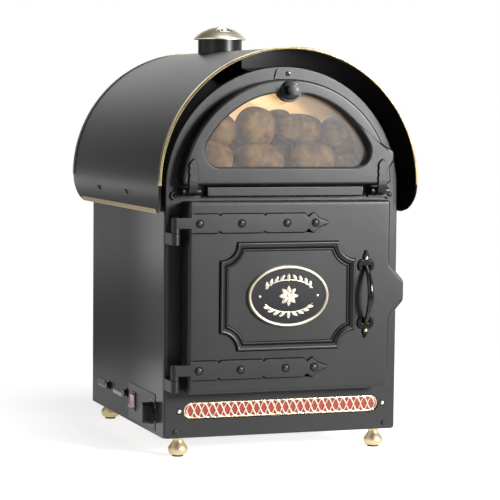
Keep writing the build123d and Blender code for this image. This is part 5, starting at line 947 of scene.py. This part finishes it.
class OVEN_OT_display_door(bpy.types.Operator):
    """Arched door: a closed ring of paired arches round outline, window and pocket, and the glass's bead"""

    bl_idname = "oven.display_door"
    bl_label = "Display door"

    def execute(self, context):
        outer = arch_outline(204.0, 498.3, 9.0, lug_stretch)
        window = arch_outline(WINDOW_R, 530.0, 30.0, lobe_stretch)
        pocket = arch_outline(198.0, 504.3, 6.0)
        rim, sill = edge_normals(outer), edge_normals(window)
        near_lobe = np.exp(-(window[:, 0] / 30.0) ** 4) * (window[:, 1] > ARCH_Z + 120)
        sill = sill * (1 - 0.8 * near_lobe)[:, None]
        rows = [laid(outer + rim * 0.5, 2.0), laid(outer, 2.6)]
        rows += [laid(outer + rim * inset, out)
                 for inset, out in rolled_edge(settings_of(context).door_edge, DISPLAY_FACE)]
        slope = ((3.6, DISPLAY_FACE), (2.6, 28.8), (1.9, 28.3), (0.5, 26.9), (0.1, 26.2), (0.0, 25.0),
                 (0.0, 13.0))
        rows += [laid(window - sill * inset, out) for inset, out in slope]
        rows += [laid(pocket, 13.0), laid(pocket, 2.5), laid(pocket - edge_normals(pocket) * 0.5, 2.0)]
        mesh_piece("display_door_casting", [loops_shell(rows, ring=True)], "cast_enamel", "display_door",
                   ("display_door_frame",), 50)
        seal = ((0.3, 12.8), (0.3, 15.5), (-0.3, 15.5), (-0.7, 14.5), (-0.7, 12.8))
        bead = [laid(window - sill * inset, out) for inset, out in seal]
        mesh_piece("window_bead", [loops_shell(bead, ring=True)], "black_rubber", "display_door")
        return {"FINISHED"}


class OVEN_OT_display_fittings(bpy.types.Operator):
    """Turned rose and ball of the knob, spear-topped straps with scalloped sides, and the catch's eye"""

    bl_idname = "oven.display_fittings"
    bl_label = "Display door fittings"

    def execute(self, context):
        knob = (0, PLATE_Y, KNOB_Z)
        rose = np.concatenate([
            [(0, 6.0), (3.0, 6.0), (3.0, 29.02), (18.0, 29.02), (18.0, 31.0)],
            arc((15.0, 31.0), 3.0, 0, 90, 8),
            [(12.0, 34.0), (6.5, 34.3), (5.0, 35.5), (4.5, 37.5), (4.5, 44.0), (0, 44.0)]])
        mesh_piece("display_knob", [lathe(rose, knob, "out", 56)], "gloss_black", "display_door",
                   ("display_door_knob",))
        ball = arc((0, 51.0), 11.0, -80, 90, 24)
        ball[-1, 0] = 0.0
        ball = np.concatenate([[(0, ball[0, 1])], ball])
        # the ball's grey stands for its highlight: painted sheen
        mesh_piece("knob_ball", [lathe(ball, knob, "out", 48)], "ball_painted_sheen", "display_door")
        spear = mirrored([(8.5, 503.3), (8.5, 512.5), (6.8, 516.5), (8.5, 520.5), (8.5, 525.0), (6.8, 529.0),
                          (8.4, 532.5), (7.6, 537.0), (4.2, 541.5)], (0.0, 545.4))
        spear = rounded_outline(spear, 1.6, 4)
        spears = [spear + [side * DISPLAY_STRAP_X, 0] for side in (-1, 1)]
        tail = np.array([
            (33.0, 503.3), (33.0, 499.0), (32.2, 492.0), (29.5, 484.5), (25.4, 480.6), (20.6, 479.6),
            (15.5, 479.7), (12.2, 481.4), (10.1, 485.0), (10.1, 489.4), (12.4, 492.7), (16.0, 493.8),
            (20.4, 493.6), (24.0, 494.6), (29.0, 497.8), (29.0, 503.3)])
        middle = tail.mean(0)
        shells = []
        for side, outline in zip((-1, 1), spears):
            loops = []
            for across, inset in ((-8.5, 0.5), (-8.0, 0.0), (8.0, 0.0), (8.5, 0.5)):
                out, z = (tail + (middle - tail) * inset / 12.0).T
                loops.append(facing(side * DISPLAY_STRAP_X + across, z, out))
            shells += [raised_plate(outline, 28.9, 33.0, 0.9), loops_shell(loops)]
        mesh_piece("display_straps", shells, "cast_iron", "display_door",
                   ("display_door_straps",))
        # painted shade round the spear straps
        shade_outline("display_painted_shade", spears, DISPLAY_FACE, "display_door", 1.5)
        for node in ("display_hinge_brackets", "hinge_pins"):
            smoothed_part(node)
        eye = [(0, 3.0), (4.4, 3.0), (4.4, 4.2), (3.6, 5.0), (2.2, 5.2), (1.8, 4.0), (0, 3.9)]
        mesh_piece("catch_eye", [lathe(eye, (5.0, PLATE_Y, 701.0), "out", 28)], "gloss_black", "cabinet")
        return {"FINISHED"}


# ------------------------------------------------------------------ oven door
def scooped_loop(inset, out, steps=14):
    """Panel outline drawn in by inset: straight sides between quarter scoops centred on the corners."""
    radius = PANEL_SCOOP + inset
    lean = math.degrees(math.asin(min(inset / radius, 1.0)))
    points = []
    for cx, cy, start in ((1, 1, 270), (-1, 1, 0), (-1, -1, 90), (1, -1, 180)):
        centre = (cx * PANEL_SIZE[0] / 2, cy * PANEL_SIZE[1] / 2)
        points.append(arc(centre, radius, start - lean, start - 90 + lean, steps))
    return laid(np.concatenate(points) + PANEL_MIDDLE, out)


class OVEN_OT_oven_door(bpy.types.Operator):
    """Oven door: rim and pocket from one outline drawn in by steps, an ogee moulding and painted shade bands
    in it
    """

    bl_idname = "oven.oven_door"
    bl_label = "Oven door"

    def execute(self, context):
        edge, height = settings_of(context).door_edge, settings_of(context).moulding_height
        corners = np.array(OVEN_DOOR_CORNERS)
        outline = rounded_outline(corners[:, :2], corners[:, 2], 9)
        inward = edge_normals(outline)
        pocket = np.clip(outline + inward * 6.0, (-190.0, 127.5), (190.0, 463.4))
        rows = [laid(pocket, 38.0), laid(pocket, 2.4), laid(outline + inward * 0.4, 2.0), laid(outline, 2.6)]
        rows += [laid(outline + inward * inset, out) for inset, out in rolled_edge(edge, DOOR_FACE)]
        face, middle = outline + inward * edge, np.array([0, 295.45])
        rows += [laid(face * k + middle * (1 - k), DOOR_FACE) for k in (0.97, 0.7, 0.35, 0.01)]
        ogee = [(-0.05, -0.2), (0.0, 0.1), (0.4, 0.6), (0.9, 0.88), (1.6, 0.97), (2.8, 1.0), (4.0, 0.97),
                (5.0, 0.86), (6.4, 0.66), (7.8, 0.44), (9.2, 0.25), (10.6, 0.12), (11.6, 0.10), (12.0, 0.16),
                (12.5, 0.36), (13.3, 0.46), (14.2, 0.44), (14.9, 0.28), (15.4, 0.05), (15.5, -0.2)]
        ring = [scooped_loop(inset, DOOR_FACE + rise * height) for inset, rise in ogee]
        ring.append(scooped_loop(8.0, DOOR_FACE - 1.5))
        mesh_piece("oven_door_shell", [loops_shell(rows), loops_shell(ring, ring=True)], "cast_enamel",
                   "oven_door", ("oven_door_casting",), 48)
        # painted shade: near-black rings in the moulding's hollow and along its outer and inner foot
        hollow = [(9.0, 0.29), (10.6, 0.15), (11.6, 0.13), (12.1, 0.2), (12.1, 0.06), (11.6, 0.0),
                  (10.6, 0.02), (9.0, 0.16)]
        foot = [(-1.4, 0.03), (0.25, 0.03), (0.25, -0.03), (-1.4, -0.03)]
        inner = [(15.2, 0.03), (16.4, 0.03), (16.4, -0.03), (15.2, -0.03)]
        skin = DOOR_FACE + 0.05
        shade_bands = [loops_shell([scooped_loop(inset, skin + rise * height) for inset, rise in band], ring=True)
                 for band in (hollow, foot, inner)]
        mesh_piece("moulding_painted_shade", shade_bands, "painted_shade_black", "oven_door")
        return {"FINISHED"}


def strap_half_height(x):
    """Half height of a strap hinge at x: full, a V nick at each joint, a neck, then a bulb and a spear."""
    h = np.full(x.shape, STRAP_HALF)
    for nick in NICK_X:
        h = np.minimum(h, 13.0 + 4.0 * (np.abs(x - nick) / 4.6) ** 0.85)
    neck = np.abs(x - NECK_X)
    h = np.where(neck < 8.0, np.minimum(h, 10.4 + 6.6 * (neck / 8.0) ** 0.8), h)
    t = np.clip((x - SPEAR_X) / 28.5, 0, 1)
    tail = STRAP_HALF * (1 - t) ** 0.92 * (1 - 0.34 * np.sin(t * np.pi))
    return np.where(x > SPEAR_X, tail, h)


class OVEN_OT_oven_hinges(bpy.types.Operator):
    """Strap hinges: plates whose half height follows the strap's outline, with barrels, rivets and painted
    shade round them
    """

    bl_idname = "oven.oven_hinges"
    bl_label = "Oven door hinges"

    def execute(self, context):
        edge = settings_of(context).strap_edge
        knots = [-193.0, -144.0, NICK_X[0], -134.0, -58.0, NICK_X[1], -48.0, 24.0, NECK_X, SPEAR_X, TIP_X]
        x = knotted(knots, (14, 8, 8, 18, 8, 8, 18, 8, 10, 22))
        half = np.maximum(strap_half_height(x), 0.12)
        turn = np.linspace(0, np.pi / 2, 6)[:-1]
        across = np.concatenate([-np.cos(turn), [0.0], np.cos(turn)[::-1]])
        lift = np.concatenate([np.sin(turn), [1.0], np.sin(turn)[::-1]])
        roll = np.minimum(edge, half * 0.5)
        v = np.sign(across) * ((half - roll)[:, None] + roll[:, None] * np.abs(across))
        shells = []
        for z in STRAP_Z:
            top = facing(x[:, None], z + v, STRAP_FACE - edge * (1 - lift))
            feet = [facing(x, z + side * half, DOOR_FACE - 0.1)[:, None] for side in (-1, 1)]
            shells.append(loops_shell(np.concatenate([feet[0], top, feet[1]], 1)))
            low, high = z - 8.8, z + 10.8
            neck = rounded_outline([(-190.0, low), (-190.0, high), (HINGE_X, high), (HINGE_X, low)], 0.5, 3)
            shells.append(raised_plate(neck, 44.1, 47.95, 0.8))
            barrel = [(3.6, z - 17.0), (6.6, z - 17.0), (7.4, z - 16.2), (7.4, z + 10.2), (6.6, z + 11.0),
                      (3.6, z + 11.0), (3.6, z - 17.0)]
            shells.append(lathe(barrel, (HINGE_X, PLATE_Y - 40.5, 0), "up", 40))
        mesh_piece("oven_straps", shells, "cast_iron", "oven_door", ("oven_door_straps",), 40)
        on = x > -188
        ends = [np.stack([x[on], side * half[on]], -1) for side in (1, -1)]
        line = np.concatenate([ends[0], ends[1][::-1]])
        # painted shade round the strap hinges
        shade_outline("strap_painted_shade", [line + [0, z] for z in STRAP_Z], DOOR_FACE, "oven_door", 1.7)
        spots = [(x0, z) for x0 in RIVET_X for z in STRAP_Z]
        rings = [arc(spot, 6.5, 0, 350, 35) for spot in spots]
        # painted shade round the rivet heads
        shade_outline("rivet_painted_shade", rings, STRAP_FACE, "oven_door", 1.3)
        rivet = [(0, -9.9), (2.45, -9.9), (2.45, 0.02), (6.5, 0.02), (6.4, 0.9), (5.7, 2.0), (4.5, 2.9),
                 (3.0, 3.4), (1.9, 3.45), (1.2, 3.0), (0, 2.8)]
        shells = [lathe(rivet, (x0, PLATE_Y - STRAP_FACE, z), "out", 28) for x0, z in spots]
        mesh_piece("oven_strap_rivets", shells, "cast_iron", "oven_door", ("strap_rivets",))
        smoothed_part("oven_hinge_brackets")
        return {"FINISHED"}


class OVEN_OT_handle(bpy.types.Operator):
    """Bow handle: circles swelling along half a sine wave, with a trident plate and a screw at each end"""

    bl_idname = "oven.handle"
    bl_label = "Door handle"

    def execute(self, context):
        t = np.linspace(-1, 1, 57)
        wave = np.cos(t * np.pi / 2)
        path = facing(HANDLE_X, OVAL_Z + HANDLE_REACH * t, 46.0 + 24.1 * wave**0.8)
        shells = [sweep(path, (1.0, 0, 0), round_section(4.2 + 1.75 * wave**1.4, 24))]
        outline = mirrored([
            (3.6, -6.5), (4.4, 1.2), (7.6, 2.0), (8.6, -2.2), (7.4, -6.0), (11.0, -8.4), (14.6, -5.2),
            (15.8, 1.6), (14.4, 8.0), (10.4, 11.6), (6.2, 11.0), (4.6, 13.4), (5.4, 16.6), (4.4, 20.6),
            (2.4, 23.2), (3.0, 25.6)], (0, 29.6))
        tridents = []
        for end in (-1, 1):
            trident = rounded_outline((outline * [1, end])[::end], 1.2, 4)
            tridents.append(trident + [HANDLE_X, OVAL_Z + end * HANDLE_REACH])
        shells += [raised_plate(trident, DOOR_FACE - 0.1, STRAP_FACE, 1.0) for trident in tridents]
        mesh_piece("bow_handle", shells, "gloss_black", "oven_door", ("door_handle",))
        # painted shade round the trident plates
        shade_outline("handle_painted_shade", tridents, DOOR_FACE, "oven_door", 1.4)
        screw = [(0, -9.9), (1.9, -9.9), (1.9, 0.0), (3.6, 0.0), (3.3, 1.0), (2.2, 1.75), (0.9, 1.98),
                 (0, 2.0)]
        shells = [lathe(screw, (HANDLE_X, PLATE_Y - STRAP_FACE, OVAL_Z + end * 67.0), "out", 20)
                  for end in (-1, 1)]
        mesh_piece("handle_pins", shells, "brass", "oven_door", ("handle_screws",))
        return {"FINISHED"}


def ellipse_loop(a, b, out, steps=120):
    """Closed ellipse of half widths a and b about the oval's middle."""
    turn = np.linspace(0, 2 * np.pi, steps, endpoint=False)
    return facing(OVAL_X + a * np.cos(turn), OVAL_Z + b * np.sin(turn), out)


def leaf_shell(x, z, angle, length, width, base, rise=2.2):
    """Domed leaf: half width is a sine of the way along, height falls from its vein to its edge."""
    u = np.linspace(0, 1, 13)[:, None]
    v = np.linspace(-1, 1, 9)[None]
    along = (u - 0.5) * length
    side = v * width / 2 * np.sin(np.pi * u**0.85) ** 0.8
    out = base + rise * (1 - np.abs(v) ** 1.8) * np.sin(np.pi * u) ** 0.6 + 0.1
    c, s = math.cos(angle), math.sin(angle)
    place = (x + along * c - side * s, z + along * s + side * c)
    top, flat = facing(*place, out), facing(*place, base - 0.2)
    return loops_shell(np.concatenate([top, flat[:, ::-1][:, 1:-1]], 1))


class OVEN_OT_oval(bpy.types.Operator):
    """Oval plate: a shallow dome of ellipses, a rolled brass rim, and a rosette between two leaf sprays"""

    bl_idname = "oven.oval"
    bl_label = "Oval plate"

    def execute(self, context):
        rows = [ellipse_loop(72.4, 50.3, 44.1)]
        rows += [ellipse_loop(72.4 * k, 50.3 * k, 48.3 + 0.6 * (1 - k**2))
                 for k in (1.0, 0.92, 0.8, 0.6, 0.35, 0.02)]
        mesh_piece("oval_dish", [loops_shell(rows)], "oval_enamel", "oven_door",
                   ("oval_plate",))
        rim = [(0.05, 44.0), (0.05, 48.6), (0.6, 50.5), (1.6, 51.5), (2.8, 51.9), (4.0, 51.5), (4.9, 50.4),
               (5.4, 48.9), (5.4, 44.0)]
        rows = [ellipse_loop(77.95 - inset, 55.95 - inset, out) for inset, out in rim]
        mesh_piece("oval_rim", [loops_shell(rows, ring=True)], "cap_brass", "oven_door",
                   ("oval_trim",))
        shells = []
        for a in np.arange(8) * math.pi / 4:
            x, z = OVAL_X + 11.0 * math.cos(a), OVAL_Z + 11.0 * math.sin(a)
            shells.append(leaf_shell(x, z, a, 15.5, 8.2, 48.7))
        boss = [(0, 48.6), (4.6, 48.6), (4.6, 49.6), (3.8, 50.6), (2.2, 51.2), (0, 51.4)]
        shells.append(lathe(boss, (OVAL_X, PLATE_Y, OVAL_Z), "out", 24))
        dot = [(0, 48.2), (2.6, 48.2), (2.4, 49.6), (1.5, 50.6), (0, 50.9)]
        shells += [lathe(dot, (OVAL_X + side * 56.0, PLATE_Y, OVAL_Z), "out", 16) for side in (-1, 1)]
        bow = math.pi / 2 + np.linspace(-1.08, 1.08, 25)
        for flip in (-1, 1):
            for k in range(-4, 5):
                a = math.pi / 2 + k * 0.235
                x, z = OVAL_X + 52.0 * math.cos(a), OVAL_Z + flip * 34.0 * math.sin(a)
                lean = flip * (a - math.pi / 2) * 0.9 + (math.copysign(0.75, k) if k else math.pi / 2)
                shells.append(leaf_shell(x, z, lean, 14.5, 6.6, 48.4))
            stem = facing(OVAL_X + 52.0 * np.cos(bow), OVAL_Z + flip * 29.5 * np.sin(bow), 48.9)
            shells.append(sweep(stem, (0, 1.0, 0), round_section(0.9, 8)))
        mesh_piece("oval_rosette", shells, "pale_brass", "oven_door")
        return {"FINISHED"}


# ------------------------------------------------------------------ grille, feet and screws
def stadium(length, high, out, steps=120):
    """Closed outline of two half rounds joined by straight sides, about the grille's middle."""
    turn = np.linspace(0, 2 * np.pi, steps, endpoint=False)
    across = np.sign(np.cos(turn)) * (length - high) + high * np.cos(turn)
    return facing(GRILLE_X + across, GRILLE_Z + high * np.sin(turn), out)


class OVEN_OT_grille(bpy.types.Operator):
    """Pierced grille: two opposed sine waves and a scalloped border, as flat bars with rounded tops"""

    bl_idname = "oven.grille"
    bl_label = "Grille"

    def execute(self, context):
        w = settings_of(context).lattice_width / 2
        back, shoulder, face = GRILLE_BACK, GRILLE_FACE - 0.5, GRILLE_FACE
        bar = np.array([(-w, back), (-w, shoulder), (-w * 0.55, face), (w * 0.55, face), (w, shoulder),
                        (w, back)])
        cells = 26
        reach = GRILLE_PITCH * cells / 2
        x = np.linspace(-reach, reach, cells * 16 + 1)
        phase = (x + reach) * np.pi / GRILLE_PITCH
        shells = []
        for sign in (-1, 1):
            path = np.stack([GRILLE_X + x, GRILLE_Z + sign * 11.4 * np.sin(phase)], -1)
            side = unit(np.gradient(path, axis=0))[:, ::-1] * [-1, 1]
            spot = path[:, None] + side[:, None] * bar[:, :1]
            shells.append(loops_shell(facing(spot[..., 0], spot[..., 1], bar[:, 1] + 0.04 * sign)))
        swell = 0.55 + 0.45 * np.abs(np.sin(phase))[:, None]
        scallop = 14.3 - np.array([0.0, 0.0, 0.8, 2.0, 2.9, 2.9]) * swell
        for sign in (-1, 1):
            shells.append(loops_shell(facing(GRILLE_X + x[:, None], GRILLE_Z + sign * scallop, bar[:, 1])))
        a = np.linspace(-np.pi / 2, np.pi / 2, 33)[:, None]
        radius = 12.9 + bar[:, 0]
        for side in (-1, 1):
            end = GRILLE_X + side * (177.0 + radius * np.cos(a))
            shells.append(loops_shell(facing(end, GRILLE_Z + radius * np.sin(a), bar[:, 1])))
        mesh_piece("grille_lattice", shells, "grille_brass", "cabinet", sharp=50)
        hole, rim = (191.3, 14.3), (204.4, 22.4)
        flange = [stadium(*hole, -4.45), stadium(*hole, -3.05), stadium(*rim, -3.05), stadium(*rim, -4.45)]
        mesh_piece("grille_flange", [loops_shell(flange, ring=True)], "grille_brass", "cabinet",
                   ("grille",))
        screw = [(0, -4.4), (1.7, -4.4), (1.7, 0.05), (3.6, 0.05), (3.4, 0.9), (2.4, 1.7), (1.0, 2.0),
                 (0, 2.0)]
        washer = [(2.0, 0.0), (5.8, 0.0), (5.8, 0.35), (5.4, 0.7), (3.9, 0.6), (2.0, 0.04), (2.0, 0.0)]
        spots = [(GRILLE_X + side * 200.6, PLATE_Y, GRILLE_Z) for side in (-1, 1)]
        mesh_piece("grille_pins", [lathe(screw, spot, "out", 20) for spot in spots], "pale_brass", "cabinet",
                   ("grille_screws",))
        mesh_piece("grille_washers", [lathe(washer, spot, "out", 24) for spot in spots], "gloss_black",
                   "cabinet")
        return {"FINISHED"}


class OVEN_OT_feet(bpy.types.Operator):
    """Ball feet turned from one profile: base ring, ball, waist and the flared top under the tray"""

    bl_idname = "oven.feet"
    bl_label = "Feet"

    def execute(self, context):
        u = np.linspace(0, 1, 15)
        low = np.stack([11.0 + 7.15 * np.sin(u * np.pi / 2), 13.5 - 10.5 * np.cos(u * np.pi / 2)], -1)
        high = np.stack([9.2 + 8.95 * (0.5 + 0.5 * np.cos(u * np.pi)) ** 0.9, 13.5 + 17.0 * u], -1)[1:]
        top = [(9.5, 32.6), (10.2, 33.8), (10.3, 35.4), (4.0, 35.5), (4.0, 44.5), (0, 44.5)]
        profile = np.concatenate([[(0, 3.0)], low, high, top])
        spots = [(x, PLATE_Y + y, 0) for x in (-194.0, 194.0) for y in (21.0, 483.0)]
        mesh_piece("ball_feet", [lathe(profile, spot, "up", 40) for spot in spots], "foot_brass", "cabinet",
                   ("feet",), 40)
        return {"FINISHED"}


class OVEN_OT_screws(bpy.types.Operator):
    """Domed heads of the canopy screws and the plate's bolts, turned from one profile with a drive hollow"""

    bl_idname = "oven.screws"
    bl_label = "Screws"

    def execute(self, context):
        head = [(5.0, 0.0), (5.0, 0.6), (4.4, 1.8), (3.2, 2.6), (2.0, 2.95), (1.5, 2.9), (1.4, 1.6), (0, 1.5)]
        pin = [(0, -18.0), (2.4, -18.0), (2.4, 0.0)] + head
        bolt = [(0, -5.5), (2.4, -5.5), (2.4, 0.0)] + head
        seat = node_mm("canopy_screws")[1][0] - 3.0
        pins = [lathe(pin, (side * seat, PLATE_Y + y, 478.0), way, 24)
                for side, way in ((-1, "left"), (1, "right")) for y in (185.5, 377.5)]
        # the screw heads' dark brass is painted shade and painted dark reflection
        mesh_piece("canopy_pins", pins, "shaded_brass", "cabinet", ("canopy_screws",))
        spots = ((-206.0, 47.0, 0.0), (206.0, 47.0, 0.0), (-209.7, 479.0, 5.0), (209.7, 479.0, 5.0))
        bolts = [lathe(bolt, (x, PLATE_Y - out, z), "out", 24) for x, z, out in spots]
        mesh_piece("plate_pins", bolts, "black_iron", "cabinet", ("plate_bolts",))
        return {"FINISHED"}


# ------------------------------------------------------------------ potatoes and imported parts
HEAP = (  # middle as x, y and z, half sizes a, b and c, and turn about z in radians
    (-123, 56, 539, 43, 38, 37, 0.1), (-33, 56, 541, 50, 38, 35, 0.0), (73, 56, 542, 45, 38, 34, -0.1),
    (146, 78, 536, 38, 34, 32, 0.3), (-103, 80, 594, 34, 36, 34, 0.5), (-35, 70, 602, 41, 37, 37, 0.2),
    (57, 76, 598, 43, 36, 31, -0.2), (135, 84, 582, 46, 38, 40, 0.1), (-70, 140, 553, 46, 38, 36, 0.4),
    (33, 132, 613, 27, 30, 24, 0.7), (20, 140, 556, 50, 38, 36, 0.0), (104, 142, 556, 44, 38, 36, 0.9),
    (-140, 132, 548, 30, 42, 32, 0.2), (-20, 214, 552, 52, 40, 35, 0.3), (80, 218, 552, 46, 40, 35, 0.6),
    (-104, 212, 552, 44, 40, 35, 0.9))


class OVEN_OT_potatoes(bpy.types.Operator):
    """Baked potatoes on show: ellipsoids whose radius is moved by a few seeded waves, resting in a heap"""

    bl_idname = "oven.potatoes"
    bl_label = "Potatoes"

    def execute(self, context):
        rng = np.random.default_rng(settings_of(context).potato_seed)
        u = np.linspace(0, np.pi, 37)[:, None]
        v = np.linspace(0, 2 * np.pi, 56, endpoint=False)[None]
        sphere = np.stack([np.cos(u) + 0 * v, np.sin(u) * np.cos(v), np.sin(u) * np.sin(v)], -1)
        shells = []
        for x, y, z, a, b, c, turn in HEAP:
            radius = np.ones(sphere.shape[:2])
            for _ in range(9):
                wave = rng.normal(size=3) * rng.uniform(0.8, 3.2)
                radius += 0.022 * np.sin(sphere @ wave + rng.uniform(0, 6.28))
            for _ in range(5):
                eye = unit(rng.normal(size=3))
                radius -= 0.045 * np.exp(-((1 - sphere @ eye) / 0.006))
            ball = sphere * radius[..., None] * [a, b, c]
            spin = np.array(Matrix.Rotation(turn, 3, "Z"))
            shells.append(loops_shell(ball @ spin.T + [x, PLATE_Y + y, z], caps=False))
        mesh_piece("potatoes", shells, "potato_skin", "cabinet", sharp=180)
        return {"FINISHED"}


class OVEN_OT_packed_parts(bpy.types.Operator):
    """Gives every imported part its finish, and smooths the round ones that stay"""

    bl_idname = "oven.packed_parts"
    bl_label = "Packed parts"

    def execute(self, context):
        for node, part in frame["nodes"].items():
            part.data.materials.clear()
            part.data.materials.append(finish_of(node))
        for node in (
                "front_plate", "casing_jacket", "centre_rail", "display_liner", "oven_liner", "display_lamp",
                "lamp_holder", "oven_rack_lower", "oven_rack_upper", "lower_element", "upper_element",
                "thermostat_knob", "power_rocker", "lamp_button", "reset_button", "button_collets",
                "cable_gland", "foot_pads", "door_catches", "rear_panel_screws", "canopy_spacers",
                "rear_panel", "oven_door_lining", "display_floor"):
            smoothed_part(node)
        return {"FINISHED"}


# ------------------------------------------------------------------ stage
def seen_directly(tree, with_glossy=True):
    """One for camera rays, and for mirrored and transmitted ones where asked."""
    path = tree.nodes.new("ShaderNodeLightPath")
    seen = path.outputs["Is Camera Ray"]
    for ray in ("Is Glossy Ray", "Is Transmission Ray") if with_glossy else ():
        seen = calc(tree, "MAXIMUM", seen, path.outputs[ray])
    return seen


def floor_material():
    """Pale floor: near the object it is lit and keeps the shadow, farther off it turns to plain white."""
    tree, shader, place = start_material(
        "floor", Roughness=0.8, Specular_IOR_Level=0.0, Emission_Color=(1, 1, 1, 1))
    away = length(tree, vectors(tree, "MULTIPLY", place, (1.0, 1.0, 0.0)))
    far = spread(tree, away, 0.45, 1.5, smooth=True)
    glow = spread(tree, far, 0.0, 1.0, 0.62, 1.0)
    dim = spread(tree, away, 3.0, 5.0, 0.25, 0.92)
    close = spread(tree, away, 0.9, 1.6, 0.8, 0.0)
    beside = spread(tree, axes(tree, place)[1], -0.45, -0.25)
    dim = calc(tree, "MAXIMUM", dim, calc(tree, "MULTIPLY", close, beside))
    dim = calc(tree, "MAXIMUM", dim, seen_directly(tree, False))
    shown = calc(tree, "MULTIPLY", calc(tree, "MULTIPLY", glow, dim), seen_directly(tree))
    tree.links.new(blend(tree, far, (0.82, 0.82, 0.82), (0.0, 0.0, 0.0)), shader.inputs["Base Color"])
    tree.links.new(shown, shader.inputs["Emission Strength"])
    return MATERIALS["floor"]


def studio_world():
    """White to the camera; mirrors see white low behind and beside, and dimmer walls above and in front."""
    world = bpy.data.worlds.new("studio")
    world.use_nodes = True
    tree = world.node_tree
    back = tree.nodes["Background"]
    back.inputs["Color"].default_value = (1, 1, 1, 1)
    x, y, z = axes(tree, tree.nodes.new("ShaderNodeTexCoord").outputs["Generated"])
    low = spread(tree, z, 0.36, 0.58, 1.0, 0.12, smooth=True)
    across = spread(tree, x, -0.31, -0.01, 0.02, 1.0)
    behind = spread(tree, y, -0.1, 0.4, smooth=True)
    rear = calc(tree, "MULTIPLY", calc(tree, "MULTIPLY", low, behind), across)
    left = spread(tree, x, -0.6, -0.9, 0.0, 0.8, smooth=True)
    right = spread(tree, x, 0.35, 0.7, 0.0, 0.45, smooth=True)
    most = calc(tree, "MAXIMUM", calc(tree, "MAXIMUM", rear, left), right)
    path = tree.nodes.new("ShaderNodeLightPath")
    level = between(tree, path.outputs["Is Diffuse Ray"], calc(tree, "MAXIMUM", most, 0.04), 0.28)
    level = between(tree, path.outputs["Is Camera Ray"], level, 1.0)
    tree.links.new(level, back.inputs["Strength"])
    return world


def add_light(scene, name, spot, aim, power, width):
    """Square area lamp at a spot, turned to its aim."""
    data = bpy.data.lights.new(name, "AREA")
    data.energy = power
    data.size = width
    light = bpy.data.objects.new(name, data)
    light.location = spot
    light.rotation_euler = (Vector(aim) - Vector(spot)).to_track_quat("-Z", "Y").to_euler()
    scene.collection.objects.link(light)


def add_camera(scene):
    """Camera at its place, turned by yaw and pitch, then rolled about its own axis."""
    yaw, pitch, roll = (math.radians(angle) for angle in CAMERA_TURN)
    ahead = Vector((math.sin(yaw) * math.cos(pitch), math.cos(yaw) * math.cos(pitch), math.sin(pitch)))
    right = Vector((math.cos(yaw), -math.sin(yaw), 0))
    up = right.cross(ahead)
    tilted_right = math.cos(roll) * right + math.sin(roll) * up
    tilted_up = -math.sin(roll) * right + math.cos(roll) * up
    data = bpy.data.cameras.new("camera")
    data.sensor_width = 36.0
    data.lens = CAMERA_LENS
    data.clip_end = 100
    camera = bpy.data.objects.new("camera", data)
    turn = Matrix((tilted_right, tilted_up, -ahead)).transposed().to_4x4()
    place = Vector(CAMERA_PLACE) + Vector((0, PLATE_Y * MM, 0))
    camera.matrix_world = Matrix.Translation(place) @ turn
    scene.collection.objects.link(camera)
    scene.camera = camera


class OVEN_OT_stage(bpy.types.Operator):
    """Pale floor, soft studio lights, white surroundings and the camera"""

    bl_idname = "oven.stage"
    bl_label = "Stage"

    def execute(self, context):
        scene = context.scene
        scene.view_settings.view_transform = "Standard"
        size = 14.0
        corners = [(-size, -size, 0), (size, -size, 0), (size, size, 0), (-size, size, 0)]
        mesh = bpy.data.meshes.new("floor")
        mesh.from_pydata(corners, [], [(0, 1, 2, 3)])
        mesh.materials.append(floor_material())
        floor = bpy.data.objects.new("floor", mesh)
        scene.collection.objects.link(floor)
        scene.world = studio_world()
        for lamp in LAMPS:
            add_light(scene, *lamp)
        add_camera(scene)
        return {"FINISHED"}


# ------------------------------------------------------------------ panel and registration
STEPS = (OVEN_OT_packed_parts, OVEN_OT_canopy, OVEN_OT_canopy_trim, OVEN_OT_chimney, OVEN_OT_display_door,
         OVEN_OT_display_fittings, OVEN_OT_oven_door, OVEN_OT_oven_hinges, OVEN_OT_handle, OVEN_OT_oval,
         OVEN_OT_grille, OVEN_OT_feet, OVEN_OT_screws, OVEN_OT_potatoes, OVEN_OT_stage)


class OVEN_PT_panel(bpy.types.Panel):
    """Lists the oven's sizes, colours and building steps"""

    bl_idname = "OVEN_PT_panel"
    bl_label = "Baked Potato Oven"
    bl_space_type = "VIEW_3D"
    bl_region_type = "UI"
    bl_category = "Potato Oven"

    def draw(self, context):
        column = self.layout.column()
        for key in PotatoOvenSettings.__annotations__:
            column.prop(settings_of(context), key)
        for step in STEPS:
            column.operator(step.bl_idname)


CLASSES = (PotatoOvenSettings,) + STEPS + (OVEN_PT_panel,)


def register():
    """Registers the classes and hangs the settings on the scene."""
    for item in CLASSES:
        bpy.utils.register_class(item)
    bpy.types.Scene.potato_oven = PointerProperty(type=PotatoOvenSettings)


def unregister():
    """Takes the settings and the classes away again."""
    del bpy.types.Scene.potato_oven
    for item in reversed(CLASSES):
        bpy.utils.unregister_class(item)


def main():
    """Builds the whole oven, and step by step."""
    register()
    build_materials(bpy.context.scene.potato_oven)
    for step in STEPS:
        group, name = step.bl_idname.split(".")
        getattr(getattr(bpy.ops, group), name)()


if __name__ == "__main__":
    main()
